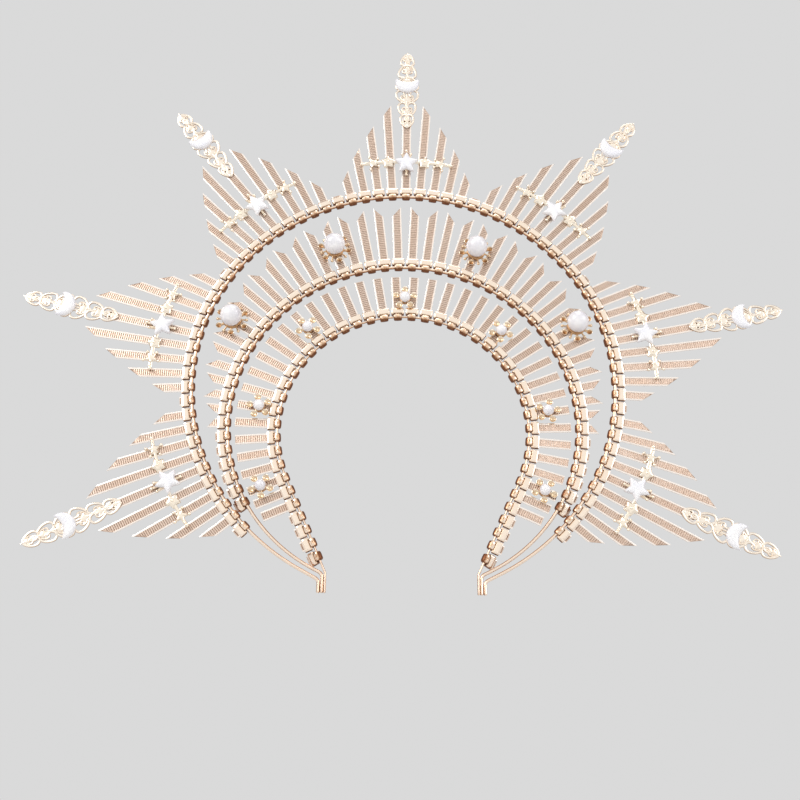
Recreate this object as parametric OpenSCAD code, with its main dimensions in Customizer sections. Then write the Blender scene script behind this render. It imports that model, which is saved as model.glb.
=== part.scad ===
// Sunburst halo crown. Three wire hoops lie in one plane and meet side by side in two tips.
// Fringe ends are threaded on the wires, and each holds a flat ladder strip or the stub of one.
// Filigree spikes, moons, star bars and pearl flowers are glued to the fronts of the strips.
// X runs across the head, Z is up and -Y is the front. The origin is midway between the tips.

/* [Hoop wires] */
// Wire of the outer and middle hoops
wire_d = 1.8; // [1.4:0.1:2.2]
// Wire of the inner hoop
inner_wire_d = 1.2; // [1:0.1:1.6]
// Radius of the inner hoop, which is the head opening, at the wire's centre
inner_r = 67.8; // [63:0.1:74]
// Distance from the inner to the middle hoop at the sides
middle_side = 26.9; // [25:0.1:30]
// Distance from the middle to the outer hoop at the sides
outer_side = 21.1; // [20:0.1:25]
// How much tighter the middle hoop's lower part is than its upper half
middle_tuck = 4; // [2:0.1:6]
// How much wider the outer hoop's lower part is than its upper half
outer_flare = 5.2; // [3:0.1:7]
// Straight leg of the inner hoop above its bend
inner_leg = 54.8; // [50:0.1:58]
// Straight run of the middle hoop above its bend
middle_leg = 2.9; // [2:0.1:4]
// Straight run of the outer hoop above its bend
outer_leg = 8.2; // [6:0.1:10]
// Straight tip of the inner hoop
inner_tip = 9.8; // [8:0.1:12]
// Straight tip of the middle hoop
middle_tip = 8.1; // [7:0.1:9]
// Straight tip of the outer hoop
outer_tip = 5; // [4:0.1:6]
// Distance from the middle of the crown to the inner hoop's tip
tip_x = 39.4; // [37:0.1:42]
// Gap between the wires side by side at the tips
tip_gap = 0.05; // [0.02:0.01:0.2]
// Bend radius of the wires above their tips
bend_r = 3; // [2.5:0.1:4]
// Length of the solder seam behind each set of tips
solder_l = 3.2; // [2:0.1:3.4]
// How far the solder stands out behind the wires
solder_t = 0.25; // [0.15:0.05:0.5]
// Clearance between solder and wires
solder_clear = 0.02; // [0.01:0.01:0.05]

/* [Fringe ends] */
// Spacing of the fringe ends along the outer hoop
outer_pitch = 7.85; // [7.6:0.01:8]
// Spacing of the fringe ends along the middle hoop
middle_pitch = 7.7; // [7.5:0.01:7.8]
// Spacing of the fringe ends along the inner hoop
inner_pitch = 7.7; // [7.5:0.01:7.8]
// Outside of the barrel that is rolled round the wire
barrel_d = 4.3; // [4:0.1:4.6]
// Length of the barrel along the wire
barrel_l = 4.5; // [4.2:0.1:4.8]
// Clearance between barrel and wire, all round
bore_clear = 0.05; // [0.02:0.01:0.1]
// Sheet of the fold and of the tongue from fold to barrel
sheet_t = 0.9; // [0.7:0.05:1.1]
// Open neck between barrel and fold
neck = 0.3; // [0.2:0.05:0.6]
// Gap on each side of the barrel in the notch of the fold
notch_gap = 0.15; // [0.1:0.05:0.25]
// Gap between the wire and the fold's shoulders, which stand on both sides of the barrel
shoulder_gap = 0.35; // [0.25:0.05:0.5]
// Width of the fold, along the wire
fold_w = 6.7; // [6.4:0.1:6.9]
// Depth of the fold above the barrel, away from the wire
fold_l = 2.8; // [2.6:0.1:3.2]
// Chamfer on the closed edge of the fold
fold_bevel = 0.5; // [0.3:0.05:0.7]
// Clearance between fold and strip, all round
fold_clear = 0.05; // [0.02:0.01:0.1]
// Steepest lean of an end that passes behind the next hoop
lean_most = 30; // [28:1:34]

/* [Strips] */
// Width of a ladder strip
strip_w = 5.4; // [5:0.1:5.6]
// Thickness of a strip at its rails
strip_t = 0.8; // [0.6:0.05:1]
// Width of each rail along a strip's edges
rail_w = 0.8; // [0.6:0.05:1]
// Thickness of the ribbed web between the rails
web_t = 0.45; // [0.3:0.05:0.5]
// How far a strip that was cut off stands out of its fold
stub = 1.2; // [0.8:0.1:1.6]
// From the outer wire to the high corner of the strips beside a ray's centre
ray_reach = 64; // [60:0.5:68]
// How much shorter each next strip of a ray is
ray_step = 14.1; // [13:0.1:14.5]
// Fall of the slanting cut across a ray's strip
ray_cut = 7.5; // [6:0.1:9]
// From the middle strips' high corners to the outer wire
middle_space = 7; // [6:0.1:9]
// Fall of the slanting cut across a middle strip
middle_cut = 6.2; // [5:0.1:7]
// From the inner strips to the middle wire, at the top
inner_space = 6.4; // [5:0.1:8]
// From the inner strips to the middle wire, at the last strip
inner_space_last = 3.2; // [2.8:0.1:5]

/* [Filigree spikes] */
// From the outer wire to the base of a spike
spike_base = 48; // [45:0.5:51]
// How far a ray's centre strip reaches under its spike
spike_lap = 7; // [6:0.1:8]
// Thickness of the filigree sheet
filigree_t = 0.8; // [0.6:0.05:1.2]
// Length of one motif along the spike
motif_l = 8.8; // [8.4:0.1:9.2]
// Width of the motifs at both ends
motif_small = 8.8; // [8.4:0.1:9.2]
// Width of the motifs next to the ends
motif_medium = 11.4; // [11:0.1:12]
// Width of the two middle motifs
motif_large = 14.2; // [13.6:0.1:14.6]
// Width of the filigree's own strands
strand = 1; // [0.8:0.05:1.1]
// Outside of the ring in each lobe of a motif
lobe_d = 6; // [5.6:0.1:6.4]
// Outside of the two curls in each motif
curl_d = 3.4; // [3.2:0.1:3.6]
// Width of the necks between the motifs
neck_w = 6.2; // [5.8:0.1:6.6]
// Diameter of the beads at both ends of a spike
bead_d = 2.4; // [2.2:0.1:2.8]
// Length of the point beyond the last bead
point_l = 1; // [0.8:0.1:1.6]

/* [Moons] */
// Outer radius of a moon
moon_r = 7.2; // [6.8:0.1:7.6]
// Radius of the hollow side of a moon
moon_hollow_r = 10; // [9.4:0.1:11]
// Width of a moon at its middle
moon_w = 6.6; // [6:0.1:7]
// Height of a moon over its filigree
moon_h = 2.6; // [2:0.1:3]
// From the base of a spike to the middle of a moon's outer circle
moon_y = 31.5; // [30:0.1:33]

/* [Star bars] */
// From the outer wire to the middle of a star
star_y = 21.5; // [20:0.1:24]
// Radius of a pearl star's points
star_r = 7.8; // [7.4:0.1:8]
// Radius of the notches between the points
star_notch_r = 3.9; // [3.6:0.1:4.2]
// Height of a pearl star over its bar
star_h = 2.9; // [2.4:0.1:3.4]
// Thickness of the star bar
bar_t = 1.4; // [1.3:0.05:1.5]
// Width of the star bar
bar_w = 1.6; // [1.4:0.1:1.8]
// How far the bar lies beyond the middle of its star
bar_lift = 1.8; // [1.4:0.1:2.2]
// Radius of the seat under a star
star_seat_r = 3; // [2.6:0.1:3.2]
// From the middle of the bar to its blossoms, along the bar
blossom_x = 10.8; // [10.6:0.1:11.4]
// Radius of the blossoms
blossom_r = 4.2; // [3.8:0.1:4.4]
// Height of the blossoms
blossom_h = 1.9; // [1.5:0.1:2.1]
// From the middle of the bar to its knobbed stars, along the bar
knob_star_x = 20.2; // [19.6:0.1:21]
// Radius of the knobbed stars, to the middle of their knobs
knob_star_r = 4.4; // [4:0.1:4.6]
// Diameter of the knobs
knob_d = 1.8; // [1.7:0.1:2]
// From the middle of the bar to the balls at its ends, along the bar
end_ball_x = 26.4; // [26:0.1:27]
// Diameter of the balls at the ends of the bar
end_ball_d = 2.2; // [1.8:0.1:2.6]
// From the middle of a star to the farthest knob beyond its point
finial_y = 9.2; // [9:0.1:9.6]
// Spread of the knobs beside it
finial_fan = 20; // [18:1:22]
// From the middle of a star to the knob below it
foot_y = 7; // [6.6:0.1:7.4]

/* [Pearl flowers] */
// Diameter of the large pearls
large_pearl_d = 12; // [11:0.1:13]
// From the middle wire to the middle of a large flower
large_y = 18.2; // [17.6:0.1:19]
// Radius to the middle of a large flower's petal cups
large_petal_r = 8; // [7.6:0.1:8.4]
// Diameter of a large flower's petal cups
large_petal_d = 3.4; // [3:0.1:3.8]
// Diameter of the balls on a large flower's stamens
stamen_d = 1.8; // [1.4:0.1:2.2]
// Diameter of the small pearls
small_pearl_d = 6; // [5.4:0.1:6.4]
// From the inner wire to the middle of the small flower at the top
small_y_top = 10.6; // [10.4:0.1:12]
// From the inner wire to the middle of the next small flowers
small_y_high = 12; // [11:0.1:13]
// From the inner wire to the middle of the small flowers at the sides
small_y_side = 11.2; // [10.8:0.1:13]
// From the inner wire to the middle of the lowest small flowers
small_y_low = 14; // [12:0.1:14.5]
// Radius of a small flower's seat
small_seat_r = 3; // [2.8:0.1:3.4]
// Radius to the middle of a small flower's petals
small_petal_r = 5.2; // [4.8:0.1:5.6]
// Diameter of a small flower's petals
small_petal_d = 3.8; // [3.4:0.1:4]
// Sheet that the flowers are pressed from
flower_t = 0.8; // [0.6:0.05:1]
// Clearance between a pearl and its seat
pearl_clear = 0.05; // [0.02:0.01:0.1]

/* [Hidden] */
$fn = 48;
gold = "#d9ab73";
pale_gold = "#e6c79f";
pearl = "#f1eff2";

// Counts of the fringe, from the top down on each side
ray_side = 4;
rays_side = 3;
ray_units = 2 * ray_side + 2;
middle_strips_side = 20;
middle_ends_side = 26;
inner_strips_side = 20;
large_flower_units = [-12.5, -4.5, 4.5, 12.5];
small_flower_units = [-17.5, -12.5, -6.5, 0, 6.5, 12.5, 17.5];
small_flower_y = [
    small_y_low, small_y_side, small_y_high, small_y_top, small_y_high, small_y_side, small_y_low
];

// The straight wires are this much thinner, and reach into the bends, so that they join cleanly
hair = 0.01;
lap = 0.2;
cut = 4 * strip_w;

fold_y = barrel_d / 2 + neck;
shoulder_y = wire_d / 2 + shoulder_gap;
fold_t = strip_t + 2 * (fold_clear + sheet_t);
fold_end = fold_y + fold_l;
strip_start = fold_y + sheet_t + fold_clear;
front = strip_t / 2;
// An end leans back where the next hoop is nearer than this, by so many degrees per millimetre
lean_room = 1.5;
lean_reach = fold_end + stub + barrel_d / 2 + lean_room;
lean_rate = 10;

// The turn from the top at which a hoop's lower arc ends, so that its tip lies at x
function turn_of(top_r, low_r, leg, x) =
    let (a = low_r + bend_r, c = x + bend_r - top_r + low_r)
    180 - asin(c / norm([a, leg])) - atan2(leg, a);

// A hoop: radii of its upper half and lower arcs, turn, height of its centre, leg, tip, tip's x, wire
function hoop(top_r, low_r, leg, tip, x, d) =
    let (turn = turn_of(top_r, low_r, leg, x))
    [top_r, low_r, turn, tip - (low_r + bend_r) * cos(turn) + leg * sin(turn), leg, tip, x, d];

middle_x = tip_x + (inner_wire_d + wire_d) / 2 + tip_gap;
outer_x = middle_x + wire_d + tip_gap;
middle_r = inner_r + middle_side;
outer_r = middle_r + outer_side;
inner = hoop(inner_r, inner_r, inner_leg, inner_tip, tip_x, inner_wire_d);
middle = hoop(middle_r, middle_r - middle_tuck, middle_leg, middle_tip, middle_x, wire_d);
outer = hoop(outer_r, outer_r + outer_flare, outer_leg, outer_tip, outer_x, wire_d);

// The right half of a hoop from its top: [radius, length] of each run, where radius 0 is straight
function runs(h) = [
    [h[0], h[0] * PI / 2],
    [h[1], h[1] * (h[2] - 90) * PI / 180],
    [0, h[4]],
    [-bend_r, bend_r * (h[2] - 90) * PI / 180],
    [0, h[5]]
];

// A point [x, y, heading] moved by length l along a run of radius r
function moved(p, r, l) =
    r == 0 ? [p.x + l * cos(p.z), p.y + l * sin(p.z), p.z]
    : let (to = p.z - l / r * 180 / PI)
      [p.x + r * (sin(p.z) - sin(to)), p.y - r * (cos(p.z) - cos(to)), to];

// The point at length s along the runs from i on, starting at p
function along(path, s, p, i = 0) =
    i == len(path) - 1 || s <= path[i][1] ? moved(p, path[i][0], s)
    : along(path, s - path[i][1], moved(p, path[i][0], path[i][1]), i + 1);

function hoop_point(h, s) = along(runs(h), s, [0, h[3] + h[0], 0]);
function run_end(h, n) = hoop_point(h, [for (i = [0:n]) runs(h)[i][1]] * [for (i = [0:n]) 1]);

// Distance from p along the direction u to a circle round c
function to_circle(p, u, c, r) =
    let (q = p - c, b = q * u)
    -b + sqrt(b * b - q * q + r * r);

// Distance outwards from hoop h at s to the next hoop, less a margin
function to_hoop(h, s, next, margin = 0) =
    let (at = hoop_point(h, abs(s)), p = [at.x, at.y], u = [-sin(at.z), cos(at.z)])
    let (high = to_circle(p, u, [0, next[3]], next[0] - margin))
    p.y + high * u.y >= next[3] ? high
    : to_circle(p, u, [next[0] - next[1], next[3]], next[1] - margin);

// Lean of an end at s on hoop h, from the reach at its lower corner
function lean(h, s, next) =
    next == 0 ? 0
    : let (reach = to_hoop(h, abs(s) + fold_w / 2, next))
      max(0, min(lean_most, (lean_reach - reach) * lean_rate));

function half_units(n) = [for (i = [1 - n:n]) i - 0.5];

// As many inner ends as fit above the bend of the wire
inner_above = runs(inner)[0][1] + runs(inner)[1][1] + runs(inner)[2][1];
inner_ends_side = floor((inner_above - fold_w / 2) / inner_pitch + 0.5);

// Everything is drawn lying on its back, with x across, y up and z to the front
module stand() {
    rotate([90, 0, 0]) children();
}

// Places a piece on a hoop at s, counted from the top, with x along the wire and y outwards
module on_hoop(h, s) {
    p = hoop_point(h, abs(s));
    side = s < 0 ? -1 : 1;
    translate([side * p.x, p.y, 0]) rotate(side * p.z) children();
}

module wire_arc(r, angle, d) {
    rotate_extrude(angle = angle) translate([r, 0]) circle(d = d);
}

// One hoop: its upper half, then on each side a lower arc, a leg, a bend and a tip
module hoop_wire(h) {
    d = h[7];
    low = run_end(h, 1);
    translate([0, h[3], 0]) wire_arc(h[0], 180, d);
    for (side = [0, 1]) mirror([side, 0, 0]) {
        translate([h[0] - h[1], h[3], 0]) mirror([0, 1, 0]) wire_arc(h[1], h[2] - 90, d);
        translate([low.x, low.y, 0]) rotate(low.z) rotate([0, 90, 0])
            translate([0, 0, -lap]) cylinder(d = d - 2 * hair, h = h[4] + 2 * lap);
        translate([h[6] + bend_r, h[5], 0]) rotate(270 - h[2]) wire_arc(bend_r, h[2] - 90, d);
        translate([h[6], 0, 0]) rotate([-90, 0, 0]) cylinder(d = d - 2 * hair, h = h[5] + lap);
    }
}

// Solder behind one set of tips, hollowed by the three wires
module tip_seam() {
    translate([0, (outer_tip - solder_l) / 2, 0]) rotate([90, 0, 0]) mirror([0, 0, 1])
        linear_extrude(solder_l) difference() {
            translate([tip_x, -wire_d / 2 - solder_t]) square([outer_x - tip_x, wire_d / 4 + solder_t]);
            for (h = [inner, middle, outer])
                translate([h[6], 0]) circle(d = h[7] + 2 * solder_clear);
        }
}

// Side view of the fold at its shoulders: a sheet bent back on itself, open towards the strip
module fold_profile() {
    t = fold_t / 2;
    slot = strip_t / 2 + fold_clear;
    b = fold_bevel;
    polygon([
        [fold_y + sheet_t, -slot], [fold_end, -slot], [fold_end, -t], [shoulder_y + b, -t],
        [shoulder_y, b - t], [shoulder_y, t - b], [shoulder_y + b, t], [fold_end, t],
        [fold_end, slot], [fold_y + sheet_t, slot]
    ]);
}

// The fold that grips a strip, with a notch for the barrel between its shoulders
module notched_fold() {
    notch_w = barrel_l + 2 * notch_gap;
    difference() {
        translate([-fold_w / 2, 0, 0]) rotate([90, 0, 90]) linear_extrude(fold_w) fold_profile();
        translate([-notch_w / 2, fold_y - barrel_d, -fold_t]) cube([notch_w, barrel_d, 2 * fold_t]);
    }
}

// A fringe end: a barrel round the wire, and a tongue from it to the fold
module fringe_end(d, angle = 0) {
    rotate([-angle, 0, 0]) difference() {
        union() {
            rotate([0, 90, 0]) cylinder(d = barrel_d, h = barrel_l, center = true);
            translate([-barrel_l / 2, 0, -sheet_t - slot_half()])
                cube([barrel_l, fold_y + sheet_t / 2, sheet_t]);
            notched_fold();
        }
        rotate([0, 90, 0])
            cylinder(d = d + 2 * bore_clear, h = barrel_l + 2 * lap, center = true);
    }
}

// The tongue lies a little forward of the fold's back
function slot_half() = strip_t / 2 - fold_clear;

// A ladder strip from its fold to length l, with its end cut to fall by drop away from side high
module strip(l, high = 0, drop = 0, angle = 0) {
    w = strip_w / 2;
    t = strip_t / 2;
    m = web_t / 2;
    r = w - rail_w;
    rotate([-angle, 0, 0]) difference() {
        translate([0, strip_start, 0]) rotate([-90, 0, 0])
            linear_extrude(l - strip_start + (high == 0 ? 0 : lap)) polygon([
                [-w, -t], [-r, -t], [-r, -m], [r, -m], [r, -t], [w, -t],
                [w, t], [r, t], [r, m], [-r, m], [-r, t], [-w, t]
            ]);
        if (high != 0) translate([0, l - drop / 2, 0]) rotate(high * atan2(drop, strip_w))
            translate([-cut / 2, 0, -cut / 2]) cube(cut);
    }
}

module stubs(h, units, pitch, next) {
    for (i = units) on_hoop(h, i * pitch)
        strip(fold_end + stub, angle = lean(h, i * pitch, next));
}

module fringe_ends(h, units, pitch, next) {
    for (i = units) on_hoop(h, i * pitch) fringe_end(h[7], lean(h, i * pitch, next));
}

// The nine strips of a ray, the longest in the middle, with their ends cut to one point
module ray_strips(k) {
    color(pale_gold) stand() for (j = [-ray_side:ray_side])
        on_hoop(outer, (k * ray_units + j) * outer_pitch)
            if (j == 0) strip(spike_base + spike_lap);
            else strip(ray_reach - (abs(j) - 1) * ray_step, -sign(j), ray_cut);
}

module ray_ends(k) {
    color(gold) stand()
        fringe_ends(outer, [for (j = [-ray_side:ray_side]) k * ray_units + j], outer_pitch, 0);
}

// Places a piece on the front of a ray's centre strip, y from the wire and z from that front
module on_ray(k, y, z = 0) {
    stand() on_hoop(outer, k * ray_units * outer_pitch) translate([0, y, front + z]) children();
}

motif_widths = [motif_small, motif_medium, motif_large, motif_large, motif_medium, motif_small];

module ring(d) {
    difference() {
        circle(d = d);
        circle(d = d - 2 * strand);
    }
}

// A straight strand from a to b
module strand_line(a, b) {
    along = b - a;
    translate(a) rotate(atan2(along.y, along.x))
        translate([0, -strand / 2]) square([norm(along), strand]);
}

// One motif of the filigree: two ringed lobes, strands that run from them to a foot, and two curls
module motif(w, foot) {
    lobe_y = (motif_l - lobe_d) / 2 + lap;
    for (side = [-1, 1]) {
        translate([side * (w - lobe_d) / 2, lobe_y]) ring(lobe_d);
        strand_line([side * (w - strand) / 2, lobe_y], [side * (foot - strand) / 2, -motif_l / 2]);
        translate([side * (curl_d / 2 - strand / 3), curl_d - motif_l / 2]) ring(curl_d);
    }
    translate([-strand / 2, -motif_l / 2]) square([strand, motif_l]);
}

// A row of motifs joined by necks, with the foot of each turned to the nearer end, and a point
module filigree_outline() {
    last = len(motif_widths) - 1;
    spike_l = motif_l * len(motif_widths);
    end_y = strand / 2;
    for (i = [0:last]) translate([0, (i + 0.5) * motif_l])
        mirror([0, i < last / 2 ? 0 : 1]) motif(motif_widths[i], i % last == 0 ? bead_d : neck_w);
    for (i = [1:last]) translate([0, i * motif_l]) square([neck_w, strand * 1.2], center = true);
    for (y = [end_y, spike_l - end_y]) translate([0, y]) circle(d = bead_d);
    translate([0, spike_l - end_y])
        polygon([[-bead_d / 3, 0], [bead_d / 3, 0], [0, bead_d / 2 + point_l]]);
}

module ray_filigree(k) {
    color(gold) on_ray(k, spike_base) linear_extrude(filigree_t) filigree_outline();
}

// A pearl shell crescent, domed in front, with its horns towards the spike's tip
module ray_moon(k) {
    color(pearl) on_ray(k, spike_base + moon_y, filigree_t) domed(moon_r, moon_h) difference() {
        circle(r = moon_r);
        translate([0, moon_w - moon_r + moon_hollow_r]) circle(r = moon_hollow_r);
    }
}

// Outline of a five-pointed star with a point up
module star_outline(r, notch) {
    polygon([for (i = [0:9]) (i % 2 == 0 ? r : notch) * [sin(36 * i), cos(36 * i)]]);
}

// A prism of an outline of radius r, with its front rounded to a dome of height h
module domed(r, h) {
    rim = h / 3;
    dome_r = (r * r + pow(h - rim, 2)) / (2 * (h - rim));
    intersection() {
        linear_extrude(h + rim) children();
        translate([0, 0, h - dome_r]) sphere(dome_r);
    }
}

// A ball at the end of a round arm of length l, with the arm at height z
module knobbed_arm(l, arm_d, ball_d, z) {
    translate([0, 0, z]) rotate([-90, 0, 0]) cylinder(d = arm_d, h = l);
    translate([0, l, ball_d / 2]) sphere(d = ball_d);
}

bar_r = outer_r + star_y + bar_lift;

// Places a piece on the star bar's arc, x along it from its middle
module on_bar(x) {
    translate([0, bar_lift - bar_r, 0]) rotate(-x / bar_r * 180 / PI) translate([0, bar_r, 0]) children();
}

// Five round lobes round a middle
module blossom() {
    lobe_r = 0.42 * blossom_r;
    middle_r = 0.55 * blossom_r;
    domed(blossom_r, blossom_h) {
        for (i = [0:4]) rotate(72 * i) translate([0, blossom_r - lobe_r]) circle(r = lobe_r);
        circle(r = middle_r);
    }
}

arm_d = 0.9 * bar_t;
hub_d = 1.6 * knob_d;
arm_turn = 360 / 5;

module knob_star() {
    for (i = [0:4]) rotate(arm_turn * i) knobbed_arm(knob_star_r, arm_d, knob_d, bar_t / 2);
    cylinder(d = hub_d, h = knob_d);
}

// The star bar: an arched rod with a star seat, two blossoms, two knobbed stars and end balls
module ray_star_bar(k) {
    sweep = 2 * end_ball_x / bar_r * 180 / PI;
    color(gold) on_ray(k, star_y) {
        translate([0, bar_lift - bar_r, 0]) rotate(90 - sweep / 2)
            rotate_extrude(angle = sweep) translate([bar_r - bar_w / 2, 0]) square([bar_w, bar_t]);
        cylinder(r = star_seat_r, h = bar_t);
        for (fan = [-1, 0, 1]) rotate(fan * finial_fan)
            knobbed_arm(finial_y - abs(fan) * knob_d, arm_d, knob_d, bar_t / 2);
        rotate(180) knobbed_arm(foot_y, arm_d, knob_d, bar_t / 2);
        for (side = [-1, 1]) {
            on_bar(side * blossom_x) blossom();
            on_bar(side * knob_star_x) rotate(side * (arm_turn - 90)) knob_star();
            on_bar(side * end_ball_x) translate([0, 0, end_ball_d / 2]) sphere(d = end_ball_d);
        }
    }
}

// A puffed star of pearl shell on the bar's seat
module ray_star(k) {
    color(pearl) on_ray(k, star_y, bar_t) domed(star_r, star_h) star_outline(star_r, star_notch_r);
}

module on_flower(h, i, pitch, y) {
    stand() on_hoop(h, i * pitch) translate([0, y, front]) children();
}

large_seat = flower_t + large_pearl_d / 2;
small_seat = small_pearl_d / 2 + flower_t;

// A shallow cup of diameter d
module petal_cup(d) {
    difference() {
        cylinder(d = d, h = 2 * flower_t);
        translate([0, 0, flower_t + d / 2]) sphere(d = d);
    }
}

// A large flower: a dished seat, six petal cups on arms and six stamens between them
module large_flower() {
    difference() {
        union() {
            cylinder(r = large_pearl_d / 2 - flower_t, h = 2 * flower_t);
            for (i = [0:5]) rotate(60 * i) {
                translate([0, large_petal_r, 0]) petal_cup(large_petal_d);
                translate([-flower_t, 0, 0])
                    cube([2 * flower_t, large_petal_r - large_petal_d / 3, flower_t]);
                rotate(30) knobbed_arm(large_petal_r, stamen_d / 2, stamen_d, stamen_d / 2);
            }
        }
        translate([0, 0, large_seat]) sphere(d = large_pearl_d + 2 * pearl_clear);
    }
}

module large_flowers() {
    color(gold) for (i = large_flower_units) on_flower(middle, i, middle_pitch, large_y) large_flower();
}

module large_pearls() {
    color(pearl) for (i = large_flower_units) on_flower(middle, i, middle_pitch, large_y)
        translate([0, 0, large_seat]) sphere(d = large_pearl_d);
}

// A small flower: a dished seat on the strips, and five petals raised over the folds
module small_flower() {
    rise = fold_t / 2 - front;
    difference() {
        union() {
            cylinder(r = small_seat_r, h = rise + fold_clear + flower_t / 2);
            for (i = [0:4]) rotate(72 * i) translate([0, 0, rise + fold_clear]) {
                translate([0, small_petal_r, 0]) petal_cup(small_petal_d);
                translate([-flower_t, 0, 0])
                    cube([2 * flower_t, small_petal_r - small_petal_d / 3, flower_t]);
            }
        }
        translate([0, 0, small_seat]) sphere(d = small_pearl_d + 2 * pearl_clear);
    }
}

module on_small_flowers() {
    for (i = [0:len(small_flower_units) - 1])
        on_flower(inner, small_flower_units[i], inner_pitch, small_flower_y[i]) children();
}

module small_flowers() {
    color(gold) on_small_flowers() small_flower();
}

module small_pearls() {
    color(pearl) on_small_flowers() translate([0, 0, small_seat]) sphere(d = small_pearl_d);
}

// Units of the outer hoop between and beside the rays, whose strips were cut off
outer_bare = [for (k = [-rays_side - 0.5:rays_side + 0.5]) k * ray_units];
middle_bare = [for (i = half_units(middle_ends_side)) if (abs(i) > middle_strips_side) i];
inner_bare = [for (i = half_units(inner_ends_side)) if (abs(i) > inner_strips_side) i];

module outer_hoop() {
    color(gold) stand() hoop_wire(outer);
}

module middle_hoop() {
    color(gold) stand() hoop_wire(middle);
}

module inner_hoop() {
    color(gold) stand() hoop_wire(inner);
}

module tip_solder() {
    color(gold) stand() for (side = [0, 1]) mirror([side, 0, 0]) tip_seam();
}

module outer_bare_ends() {
    color(gold) stand() fringe_ends(outer, outer_bare, outer_pitch, 0);
}

module outer_stubs() {
    color(pale_gold) stand() stubs(outer, outer_bare, outer_pitch, 0);
}

module middle_ends() {
    color(gold) stand() fringe_ends(middle, half_units(middle_ends_side), middle_pitch, outer);
}

// Strips of the middle hoop, cut left and right in turn, with their high corners in line
module middle_strips() {
    color(pale_gold) stand() for (i = half_units(middle_strips_side)) {
        l = to_hoop(middle, i * middle_pitch, outer, middle_space);
        high = sign(i) * (floor(abs(i)) % 2 == 0 ? -1 : 1);
        on_hoop(middle, i * middle_pitch) strip(l, high, min(middle_cut, l - fold_end - stub));
    }
}

module middle_stubs() {
    color(pale_gold) stand() stubs(middle, middle_bare, middle_pitch, outer);
}

module inner_ends() {
    color(gold) stand() fringe_ends(inner, half_units(inner_ends_side), inner_pitch, middle);
}

// Strips of the inner hoop, cut square just short of the middle hoop
module inner_strips() {
    color(pale_gold) stand() for (i = half_units(inner_strips_side)) {
        space = inner_space + (inner_space_last - inner_space) * abs(i) / inner_strips_side;
        on_hoop(inner, i * inner_pitch) strip(to_hoop(inner, i * inner_pitch, middle) - space);
    }
}

module inner_stubs() {
    color(pale_gold) stand() stubs(inner, inner_bare, inner_pitch, middle);
}

ray_names = ["left_low", "left_mid", "left_high", "top", "right_high", "right_mid", "right_low"];
ray_pieces = ["strips", "ends", "filigree", "moon", "star_bar", "star"];
function ray_node(k, piece) = str(ray_names[k + rays_side], "_ray_", piece);

outer_hoop();
middle_hoop();
inner_hoop();
tip_solder();
for (k = [-rays_side:rays_side]) {
    ray_strips(k);
    ray_ends(k);
    ray_filigree(k);
    ray_moon(k);
    ray_star_bar(k);
    ray_star(k);
}
outer_bare_ends();
outer_stubs();
middle_ends();
middle_strips();
middle_stubs();
inner_ends();
inner_strips();
inner_stubs();
large_flowers();
large_pearls();
small_flowers();
small_pearls();
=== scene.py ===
"""Looks of a sunburst halo crown, laid over its solids in the same frame.

Shapes are worked out with numpy in millimetres, in a drawing that lies on its back: x across the
head, y up and z to the front. They are stood up and turned into metres when a piece is made.
"""
from collections import namedtuple
from functools import partial

import bmesh
import bpy
import numpy as np
from mathutils import Matrix, Vector


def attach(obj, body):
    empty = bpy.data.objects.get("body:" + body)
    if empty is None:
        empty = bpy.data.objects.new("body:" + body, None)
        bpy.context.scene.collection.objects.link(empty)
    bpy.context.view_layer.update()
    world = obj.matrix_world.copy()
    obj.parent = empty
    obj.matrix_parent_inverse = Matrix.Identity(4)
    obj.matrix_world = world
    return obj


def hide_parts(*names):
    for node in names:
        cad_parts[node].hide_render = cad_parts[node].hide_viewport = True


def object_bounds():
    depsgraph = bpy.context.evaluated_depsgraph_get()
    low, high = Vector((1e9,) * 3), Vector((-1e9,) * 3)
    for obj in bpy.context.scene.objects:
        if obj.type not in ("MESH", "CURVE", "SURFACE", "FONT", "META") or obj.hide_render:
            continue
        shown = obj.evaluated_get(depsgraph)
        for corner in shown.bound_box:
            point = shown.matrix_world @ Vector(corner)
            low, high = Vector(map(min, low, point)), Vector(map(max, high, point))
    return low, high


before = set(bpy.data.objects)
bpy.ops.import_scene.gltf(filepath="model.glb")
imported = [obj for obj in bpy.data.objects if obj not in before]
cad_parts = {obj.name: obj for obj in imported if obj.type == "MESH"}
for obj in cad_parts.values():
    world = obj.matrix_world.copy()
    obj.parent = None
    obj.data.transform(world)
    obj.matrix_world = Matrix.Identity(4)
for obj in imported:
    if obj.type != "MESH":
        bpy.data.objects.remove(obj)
cad_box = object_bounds()

MM = 0.001
TAU = 2 * np.pi

# Hoops: wires, radii, straight runs and tips
WIRE_D = 1.8
INNER_WIRE_D = 1.2
WIRE_ROUND = 0.25
INNER_R = 67.8
INNER_TO_MIDDLE = 26.9
MIDDLE_TO_OUTER = 21.1
MIDDLE_LOW_IN = 4
OUTER_LOW_OUT = 5.2
MIDDLE_R = INNER_R + INNER_TO_MIDDLE
OUTER_R = MIDDLE_R + MIDDLE_TO_OUTER
MIDDLE_LOW_R = MIDDLE_R - MIDDLE_LOW_IN
OUTER_LOW_R = OUTER_R + OUTER_LOW_OUT
INNER_LEG = 54.8
MIDDLE_LEG = 2.9
OUTER_LEG = 8.2
BEND_R = 3.0
INNER_TIP = 9.8
MIDDLE_TIP = 8.1
OUTER_TIP = 5.0
TIP_GAP = 0.05
INNER_X = 39.4
MIDDLE_X = INNER_X + (INNER_WIRE_D + WIRE_D) / 2 + TIP_GAP
OUTER_X = MIDDLE_X + WIRE_D + TIP_GAP

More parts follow.
